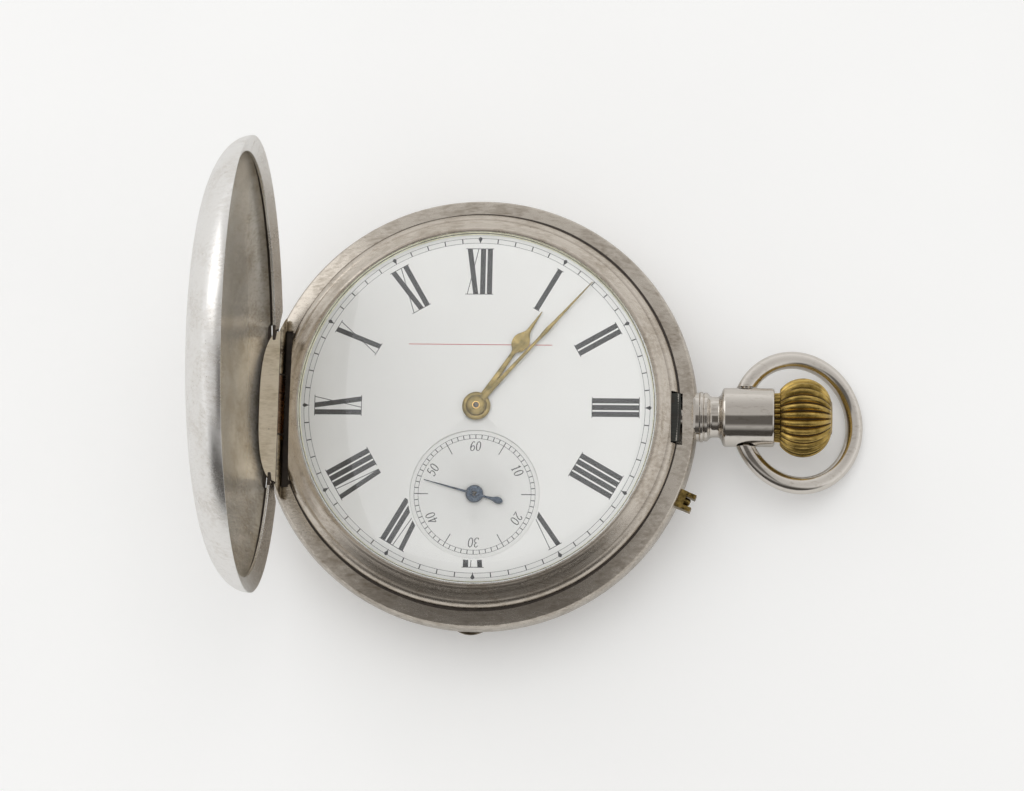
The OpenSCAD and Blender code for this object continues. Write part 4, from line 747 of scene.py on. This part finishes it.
# The neck goes into the pendant's mouth. The outer end is flat, with a small rounded edge.
neck = [crown_ring(0.6, 34.75), crown_ring(2.2, 34.75), crown_ring(2.2, neck_end)]
end = [crown_ring(1.9, 42.43), crown_ring(1.6, 42.45)]
rings = neck + grooved + end
for a, b in zip(rings, rings[1:]):
    for k in range(steps):
        n = (k + 1) % steps
        bm.faces.new([a[k], a[n], b[n], b[k]])
tip = bm.verts.new((0, 0, 42.45))
for k in range(steps):
    bm.faces.new([end[-1][k], end[-1][(k + 1) % steps], tip])
bm.faces.new(neck[0])
for face in bm.faces:
    # The neck and the lowest part of each groove hold the dirt
    middle = face.calc_center_median()
    from_floor = abs(math.sin(math.atan2(middle.y, middle.x) * ribs / 2))
    in_groove = neck_end < middle.z < onion[46][1] and middle.xy.length > 2.2 and from_floor < 0.2
    face.material_index = 1 if middle.z < 35.6 or in_groove else 0
crown = piece_from("crown_ribbed", bm, 60, along_x)
dress(crown, crown_brass, "crown")
crown.data.materials.append(groove_dirt)
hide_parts("crown")

# Pin-set push piece
# A small brass plunger between the two prongs of its guard. Pushed in, it sets the hands.
# The guard is filed from a brass block and soldered on the band.
pin_brass = aged_brass("dull_brass", "A08850", "3C3219", 0.25, 0.6)
profile = [(0, 21.25), (0.45, 21.25), (0.45, 27.4), (0.42, 27.55), (0.34, 27.66), (0.2, 27.7), (0, 27.7)]
push = piece_from("push_piece", turned(profile, 48, closed=False), 50, at_pin)
dress(push, pin_brass, "set_pin")
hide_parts("set_pin")
guard = piece_from("push_piece_guard", slab(25.9, 27.0, -1.1, 1.1, 7.4, 9.0), matrix=around(pin_turn))
for y in (-0.82, 0.82):
    carve(guard, slab(26.9, 28.1, y - 0.28, y + 0.28, 7.5, 8.9), "UNION", around(pin_turn))
carve(guard, turned(core, closed=False))
carve(guard, rod(0.48, 24, 30), matrix=at_pin)
bevel = guard.modifiers.new("filed_edges", "BEVEL")
bevel.width, bevel.segments = 0.06 * mm, 2
bevel.limit_method, bevel.angle_limit = "ANGLE", math.radians(50)
finish_edges(guard, 50)
dress(guard, pin_brass, "case")
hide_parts("set_pin_guard")

# Dial
# White enamel fired on copper, with the minute track and the numerals painted and fired
# in. Fine pores and a few specks show in it, and the seconds dial is sunk below it.
enamel, tree, shader, place = new_material("fired_enamel")
cloud = add(tree, "TexNoise", {"Vector": place, "Scale": 1 / (7 * mm), "Detail": 2.0})
tone = add(tree, "Mix", {0: cloud, 6: "E9E9E6", 7: "E2E2DF"}, data_type="RGBA")
# Specks of dirt in the glaze, about 0.15 mm across, and only a few of them
speck = add(tree, "TexVoronoi", {"Vector": place, "Scale": 1 / (5.2 * mm)})
few = add(tree, "MapRange", {"Value": speck.outputs["Distance"], "From Min": 0.012, "From Max": 0.02,
                             "To Min": 0.75, "To Max": 0.0})
dusty = add(tree, "Mix", {0: few, 6: tone.outputs[2], 7: "6E665C"}, data_type="RGBA")
ripple = add(tree, "TexNoise", {"Vector": place, "Scale": 1 / (2.5 * mm), "Detail": 1.0})
bump = add(tree, "Bump", {"Height": ripple, "Strength": 0.05, "Distance": 0.05 * mm})
feed(tree, shader, {"Base Color": dusty.outputs[2], "Normal": bump, "Roughness": 0.14, "IOR": 1.5})

dial_r, dial_top, dial_foot, sunk_r, sub_top = 21.9, 12.2, 11.3, 7.7, 11.95
sub_y = -10.6
at_sub = Matrix.Translation((0, sub_y, 0))
profile = [(1.25, dial_foot), (dial_r, dial_foot), (dial_r, 12.08), (21.84, 12.17), (21.7, dial_top),
           (1.35, dial_top), (1.27, 12.17), (1.25, 12.1)]
dial = piece_from("dial_enamel", turned(profile, 256))
sunk = [(0, 11), (sunk_r, 11), (sunk_r, 12.1), (7.74, 12.17), (7.82, 12.3), (0, 12.3)]
carve(dial, turned(sunk, 192, closed=False), matrix=at_sub)
finish_edges(dial, 50)
dress(dial, enamel, "case")
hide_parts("dial")
profile = [(0.4, dial_foot), (7.69, dial_foot), (7.69, sub_top), (0.45, sub_top), (0.4, 11.9)]
sub = piece_from("seconds_enamel", turned(profile, 192), 50, at_sub)
dress(sub, enamel, "case")
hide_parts("seconds_dial")

# Black ceramic paint, a little raised and glossy, dark grey where it is thin
ink = mottled("fired_black_paint", "111213", "252627", 0.8, 3.0, {"Roughness": 0.3})
paint_t, paint_foot = 0.008, 0.02


def painted(name, shapes, top, lift=1.0, y=0, paint=ink):
    """Flat painted shapes on enamel at height top, sunk into it by a hair"""
    piece = piece_from(name, prisms(shapes, top - paint_foot, top + paint_t * lift),
                       matrix=Matrix.Translation((0, y, 0)))
    dress(piece, paint, "case")


def radial(u, v, turn):
    """Point u to the right and v outward, for something that reads clockwise at turn degrees past XII"""
    a = math.radians(turn)
    return v * math.sin(a) + u * math.cos(a), v * math.cos(a) - u * math.sin(a)


def outside_sunk(p, q):
    """First point from p to q that is clear of the sunk seconds dial"""
    clear = 7.95
    for i in range(201):
        t = i / 200
        x, y = p[0] + (q[0] - p[0]) * t, p[1] + (q[1] - p[1]) * t
        if math.hypot(x, y - sub_y) > clear:
            return (x, y)
    return None


def bar(foot_u, head_u, width, v0, v1, turn):
    """Painted stroke from its foot to its head, cut off where the seconds dial begins"""
    feet, heads = [], []
    for i in range(7):
        across = (i / 6 - 0.5) * width
        head = radial(head_u + across, v1, turn)
        foot = outside_sunk(radial(foot_u + across, v0, turn), head)
        if foot is None or math.dist(foot, head) < 0.02:
            return []
        feet.append(foot)
        heads.append(head)
    return [feet + heads[::-1]]


foot_v, head_v, thick, fine, space, serif_half = 13.8, 19.4, 0.62, 0.09, 0.2, 0.04
widths = {"I": thick, "V": 1.5, "X": 1.42}
strokes, serifs, hairlines = [], [], []
for hour, word in enumerate("XII I II III IIII V VI VII VIII IX X XI".split()):
    turn = hour * 30
    total = sum(widths[c] for c in word) + space * (len(word) - 1)
    u = -total / 2
    for c in word:
        w = widths[c]
        if c == "I":
            strokes += bar(u + w / 2, u + w / 2, thick, foot_v, head_v, turn)
        elif c == "V":
            strokes += bar(u + w / 2 + 0.05, u + thick / 2, thick * 0.92, foot_v, head_v, turn)
            hairlines += bar(u + w / 2 + 0.3, u + w - 0.08, fine, foot_v, head_v, turn)
        else:
            strokes += bar(u + w - thick / 2, u + thick / 2, thick * 0.98, foot_v, head_v, turn)
            hairlines += bar(u + 0.08, u + w - 0.05, fine, foot_v, head_v, turn)
        u += w + space
    wide = total + 0.3
    # The serif line joins the heads, and the feet of all but a V
    serifs += bar(0, 0, wide, head_v - serif_half, head_v + serif_half, turn)
    feet_wide = wide - (widths["V"] + space if "V" in word else 0)
    if feet_wide > 0.4 and hour not in (5, 6, 7):
        shift = (wide - feet_wide) / 2 * (1 if word[0] == "V" else 0)
        serifs += bar(shift, shift, feet_wide, foot_v - serif_half, foot_v + serif_half, turn)
    elif hour == 7:
        serifs += bar(0.85, 0.85, 1.75, foot_v - serif_half, foot_v + serif_half, turn)
painted("dial_numerals", strokes, dial_top)
painted("dial_serifs", serifs, dial_top, 0.8)
painted("dial_hairlines", hairlines, dial_top, 0.6)

# Minute track: two fine circles, a tick for each minute and a dart for each five
tick_half = 0.065
tick = [(-tick_half, 20.08), (tick_half, 20.08), (tick_half, 20.7), (-tick_half, 20.7)]
dart = [(0, 19.98), (0.09, 20.3), (0.25, 20.62), (0.16, 20.76), (0, 20.86), (-0.16, 20.76), (-0.25, 20.62),
        (-0.09, 20.3)]
marks = [[radial(u, v, minute * 6) for u, v in (tick if minute % 5 else dart)][::-1] for minute in range(60)]
painted("minute_ticks", marks, dial_top)
half_line = 0.0225
for name, r, y, top in (("minute_circle_inner", 20.1, 0, dial_top),
                        ("minute_circle_outer", 20.68, 0, dial_top),
                        ("seconds_circle_inner", 6.73, sub_y, sub_top),
                        ("seconds_circle_outer", 7.22, sub_y, sub_top)):
    low, high = top - paint_foot, top + paint_t * 0.7
    line = [(r - half_line, low), (r + half_line, low), (r + half_line, high), (r - half_line, high)]
    ring = piece_from(name, turned(line), matrix=Matrix.Translation((0, y, 0)))
    dress(ring, ink, "case")
# Seconds track, with a long tick for each five that has no number
marks = []
for second in range(60):
    inner, half = 5.55 if second % 10 == 5 else 6.73, 0.05
    tick = ((half, inner), (-half, inner), (-half, 7.22), (half, 7.22))
    marks.append([radial(u, v, second * 6) for u, v in tick])
painted("seconds_ticks", marks, sub_top, 1.0, sub_y)

# Slanted pen figures 1.1 mm high. Each is one or two pen strokes, thick where they go down.
pen = {
    "0": [[(.5, 1), (.22, .85), (.12, .5), (.22, .15), (.5, 0), (.78, .15), (.88, .5), (.78, .85), (.5, 1)]],
    "1": [[(.28, .8), (.55, 1), (.55, .5), (.55, 0)], [(.32, .01), (.78, .01)]],
    "2": [[(.15, .76), (.3, .97), (.6, .98), (.8, .76), (.66, .5), (.3, .2), (.1, .03), (.5, .06),
          (.88, .02)]],
    "3": [[(.15, .85), (.4, 1), (.72, .9), (.72, .66), (.42, .53)],
          [(.42, .53), (.78, .44), (.84, .2), (.6, .01), (.3, .01), (.12, .15)]],
    "4": [[(.66, 0), (.66, .5), (.66, 1)], [(.66, 1), (.36, .62), (.08, .3), (.5, .28), (.92, .28)]],
    "5": [[(.82, .98), (.3, .96), (.22, .56), (.52, .62), (.82, .46), (.82, .2), (.56, .01),
          (.28, .02), (.12, .14)]],
    "6": [[(.8, .92), (.5, .98), (.22, .7), (.14, .36), (.26, .06), (.54, 0), (.82, .14), (.84, .38),
          (.6, .55), (.32, .46), (.17, .3)]],
}


def pen_stroke(points, thick, fine):
    """Outline of a smooth pen line that is thick downward and fine sideways"""
    line = []
    for i in range(len(points) - 1):
        p0, p1, p2, p3 = (Vector(points[min(max(j, 0), len(points) - 1)]) for j in range(i - 1, i + 3))
        for k in range(5):
            t = k / 5
            line.append(0.5 * (2 * p1 + (p2 - p0) * t + (2 * p0 - 5 * p1 + 4 * p2 - p3) * t * t
                               + (3 * p1 - p0 - 3 * p2 + p3) * t ** 3))
    line.append(Vector(points[-1]))
    quads = []
    edges = []
    for i, p in enumerate(line):
        ahead = (line[min(i + 1, len(line) - 1)] - line[max(i - 1, 0)]).normalized()
        half = (fine + (thick - fine) * abs(ahead.y) ** 1.5) / 2
        edges.append((p + Vector((-ahead.y, ahead.x)) * half, p - Vector((-ahead.y, ahead.x)) * half))
    for (a, b), (c, d) in zip(edges, edges[1:]):
        quads.append([a, c, d, b])
    return quads


figures = []
high, wide, slant, figures_v = 1.1, 0.62, 0.22, 5.82
for i, word in enumerate(("60", "10", "20", "30", "40", "50")):
    for k, c in enumerate(word):
        for line in pen[c]:
            for quad in pen_stroke(line, 0.2, 0.07):
                figures.append([radial((x - 0.5 + slant * (y - 0.5) + (k - 0.5) * 1.1) * wide,
                                       figures_v + (y - 0.5) * high, i * 60) for x, y in quad])
painted("seconds_figures", figures, sub_top, 1.0, sub_y)

# The fine red line across the upper dial
red_paint = mottled("fired_red_paint", "A8443F", "C2726B", 0.7, 2.0, {"Roughness": 0.3})
painted("red_rule", [[(-8.3, 7.55), (8.9, 7.52), (8.9, 7.62), (-8.3, 7.65)]], dial_top, paint=red_paint)

# Hands
# The hour and minute hands are pierced from thin gilt brass, crowned with a file, and
# pressed on a boss. The gilding is dull and brown in places. The seconds hand is blued steel.
gilt = aged_brass("aged_gilding", "A8935F", "73683F", 0.34, 1.6)


def smooth_stations(pairs, steps=6):
    """Rounds a hand's outline of (distance, half width) pairs"""
    out = []
    for i in range(len(pairs) - 1):
        p0, p1, p2, p3 = (Vector(pairs[min(max(j, 0), len(pairs) - 1)]) for j in range(i - 1, i + 3))
        m1, m2 = (p2 - p0) / max(p2.x - p0.x, 1e-6), (p3 - p1) / max(p3.x - p1.x, 1e-6)
        gap = p2.x - p1.x
        for k in range(steps):
            t = k / steps
            y = ((2 * t ** 3 - 3 * t ** 2 + 1) * p1.y + (t ** 3 - 2 * t ** 2 + t) * gap * m1.y
                 + (-2 * t ** 3 + 3 * t ** 2) * p2.y + (t ** 3 - t ** 2) * gap * m2.y)
            out.append((p1.x + gap * t, max(y, 0.03)))
    return out + [tuple(pairs[-1])]


def blade(pairs, z0, t):
    """bmesh of a hand along +X with a crowned top"""
    bm = bmesh.new()
    crowned = ((-1, 0), (-1, 0.5), (-0.75, 0.8), (-0.3, 0.98), (0.3, 0.98), (0.75, 0.8), (1, 0.5), (1, 0))
    rows = []
    for x, w in smooth_stations(pairs):
        rows.append([bm.verts.new((x, y * w, z0 + h * t)) for y, h in crowned])
    for a, b in zip(rows, rows[1:]):
        for k in range(8):
            n = (k + 1) % 8
            bm.faces.new([a[k], a[n], b[n], b[k]])
    bm.faces.new(rows[0])
    bm.faces.new(rows[-1][::-1])
    return bm


def hand(name, pairs, boss, z0, t, turn, place, material, body, node):
    """A hand is its blade and its turned boss"""
    aim = Matrix.Translation((place[0], place[1], 0)) @ around(90 - turn)
    arm = piece_from(name, blade(pairs, z0, t), 40, aim)
    hub = piece_from(f"{name}_boss", turned(boss, 96), 35, aim)
    for piece in (arm, hub):
        dress(piece, material, body)
    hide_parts(node)


hand_t = 0.15
hand("hour_blade", [(1.4, .42), (4.5, .33), (7.7, .27), (8.1, .4), (8.5, .78), (9.0, .98), (9.5, 1.03),
                    (10.0, .88), (10.5, .52), (10.9, .3), (11.7, .21), (13.85, .05)],
     [(1.1, 12.55), (1.62, 12.55), (1.7, 12.6), (1.69, 12.68), (1.6, 12.75), (1.42, 12.8), (1.25, 12.8),
      (1.18, 12.76), (1.1, 12.72)],
     12.55, hand_t, 33.4, (0, 0), gilt, "hour", "hour_hand")
hand("minute_blade", [(0.9, .34), (5, .24), (9, .18), (11.2, .19), (12.4, .27), (13.6, .2),
                      (17, .12), (20.4, .05)],
     [(0.75, 12.85), (1.1, 12.85), (1.17, 12.88), (1.16, 12.96), (1.05, 13.04), (0.85, 13.1), (0.6, 13.12),
      (0.45, 13.12), (0.4, 13.09), (0.4, 13.06), (0.75, 13.06)],
     12.85, hand_t, 41.8, (0, 0), gilt, "minute", "minute_hand")

# Steel heated until it turns blue, which goes grey where the colour has worn off
blue_steel, tree, shader, place = new_material("blued_steel")
worn = add(tree, "TexNoise", {"Vector": place, "Scale": 1 / (0.9 * mm), "Detail": 3.0})
tone = add(tree, "Mix", {0: worn, 6: "26303F", 7: "4A5560"}, data_type="RGBA")
gloss = add(tree, "MapRange", {"Value": worn, "To Min": 0.2, "To Max": 0.36})
feed(tree, shader, {"Base Color": tone.outputs[2], "Roughness": gloss, "Metallic": 1.0})
hand("seconds_blade", [(-3.5, .07), (-3.3, .3), (-3.0, .4), (-2.7, .4), (-2.3, .24), (-1.6, .14), (.6, .14),
                       (3.5, .09), (6.3, .04)],
     [(0.3, 12.22), (1.0, 12.22), (1.05, 12.26), (1.0, 12.32), (0.9, 12.35), (0.5, 12.36), (0.47, 12.5),
      (0.4, 12.54), (0.3, 12.54)],
     12.22, 0.12, 285.3, (0, sub_y), blue_steel, "fourth", "seconds_hand")

# The ends of the two steel arbors show in the hands' bosses
arbor_steel = mottled("turned_arbor_steel", "6F6A62", "3E3B38", 0.15, 3.0,
                      {"Metallic": 1.0, "Roughness": 0.35})
for node, body, y, r in (("centre_wheel", "centre", 0, 0.36), ("fourth_wheel", "fourth", sub_y, 0.2)):
    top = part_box(node)[1][2] / mm
    profile = [(0, top - 0.05), (r, top - 0.05), (r, top + 0.02), (r * 0.8, top + 0.06), (0, top + 0.08)]
    end = piece_from(f"{body}_arbor_end", turned(profile, 48, closed=False), 40,
                     Matrix.Translation((0, y, 0)))
    dress(end, arbor_steel, body)

# Joint pins and case springs
# Steel pins hold the three covers. The lock spring and its catch are file-finished spring
# steel, gone grey and a little brown, and their screws are blued.


def steel(name, light, dark, rough, grain_mm, turn=(0, 0, 0), rust=0.0):
    """Steel with fine file or polishing lines along one direction"""
    material, tree, shader, place = new_material(name)
    aim = add(tree, "Mapping", {"Vector": place, "Rotation": turn, "Scale": (
        1 / (3 * mm), 1 / (grain_mm * mm), 1 / (grain_mm * mm))})
    line = add(tree, "TexNoise", {"Vector": aim, "Scale": 1.0, "Detail": 2.0})
    cloud = add(tree, "TexNoise", {"Vector": place, "Scale": 1 / (1.2 * mm), "Detail": 4.0})
    tone = add(tree, "Mix", {0: line, 6: light, 7: dark}, data_type="RGBA")
    where = add(tree, "MapRange", {"Value": cloud, "From Min": 0.5, "From Max": 0.7, "To Max": rust})
    brown = add(tree, "Mix", {0: where, 6: tone.outputs[2], 7: "6B4A32"}, data_type="RGBA")
    gloss = add(tree, "MapRange", {"Value": cloud, "To Min": rough, "To Max": rough * 1.5})
    bump = add(tree, "Bump", {"Height": line, "Strength": 0.12, "Distance": 0.01 * mm})
    feed(tree, shader, {"Base Color": brown.outputs[2], "Roughness": gloss, "Normal": bump,
                        "Metallic": 1.0})
    return material


def finish_nodes(material, *names):
    """Gives carried-over CAD nodes their finish"""
    for name in names:
        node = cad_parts[name]
        for slot in node.material_slots:
            slot.link = "OBJECT"
            slot.material = material
        if not node.material_slots:
            node.data.materials.append(material)


pin_steel = steel("browned_pin_steel", "A3988C", "6E6257", 0.3, 0.05, (0, 0, math.pi / 2), 0.7)
spring_steel = steel("filed_spring_steel", "5E5F5B", "363836", 0.3, 0.08, (0, 0, 0.4), 0.2)
finish_nodes(pin_steel, "front_joint_pin", "back_joint_pin", "cuvette_joint_pin")
finish_nodes(spring_steel, "lock_spring", "lift_spring")
# The catch's edge is filed to fine teeth 0.3 mm apart, worn bright
worn_edge = steel("bright_worn_steel", "D6D3CB", "A9A59B", 0.25, 0.06, (0, 0, 0.4))
count = 38
sharp = [(24.0 + 0.12 * (k % 2), -3.7 + 5.7 * k / count) for k in range(count + 1)]
points = [(math.sqrt(r * r - y * y), y) for r, y in [*sharp, (24.22, 2.0), (24.22, -3.7)]]
teeth = piece_from("catch_teeth", prisms([points[::-1]], 11.19, 11.23), 30)
dress(teeth, worn_edge, "lock_spring")
finish_nodes(blue_steel, "case_spring_screws", "case_screws", "plate_screws", "hairspring")

# Winding and setting work
# Hardened steel parts behind the pendant, ground flat and polished with fine straight lines.
# The stem turns the pinion, and that drives the crown wheel and the ratchet wheel.
polished_steel = steel("polished_steel", "BFC1C2", "9DA0A3", 0.16, 0.03, (0, 0, 0.8), 0.05)
finish_nodes(polished_steel, "winding_stem", "winding_pinion", "setting_lever", "barrel_arbor",
             "ratchet_wheel", "click", "click_spring", "crown_wheel", "pallet_fork", "balance_staff",
             "cannon_pinion", "regulator", "mainspring")

# Movement plates
# Three-quarter plate, main plate and cocks of brass, frosted and then fire-gilt, which
# gives an even fine grain with no shine lines.
frosted_gilt, tree, shader, place = new_material("frosted_gilding")
frost = add(tree, "TexNoise", {"Vector": place, "Scale": 1 / (0.07 * mm), "Detail": 2.0})
cloud = add(tree, "TexNoise", {"Vector": place, "Scale": 1 / (5 * mm), "Detail": 4.0})
tone = add(tree, "Mix", {0: cloud, 6: "E0BC78", 7: "C49A58"}, data_type="RGBA")
gloss = add(tree, "MapRange", {"Value": cloud, "To Min": 0.34, "To Max": 0.5})
bump = add(tree, "Bump", {"Height": frost, "Strength": 0.3, "Distance": 0.02 * mm})
feed(tree, shader, {"Base Color": tone.outputs[2], "Roughness": gloss, "Normal": bump, "Metallic": 1.0})
finish_nodes(frosted_gilt, "main_plate", "three_quarter_plate", "balance_cock", "pallet_cock", "barrel_cover")

# Wheels
# The wheels are cut from brass sheet, gilt, and polished with a fine grain. Each turns on an
# arbor between the plates.
wheel_gilt = aged_brass("polished_gilt_wheels", "E4C27E", "CDA463", 0.18, 3)
finish_nodes(wheel_gilt, "barrel", "centre_wheel", "third_wheel", "fourth_wheel", "escape_wheel",
             "balance_wheel", "minute_wheel", "hour_wheel", "banking_pins")

# Jewels
# Ruby bearings for the arbors, rubbed into the plates and cocks. They are a clear deep red,
# with a polished top.
ruby = mottled("ruby", "C2274A", "8E1632", 0.5, 2.0,
               {"Roughness": 0.06, "IOR": 1.76, "Transmission Weight": 0.5})
finish_nodes(ruby, "jewels")
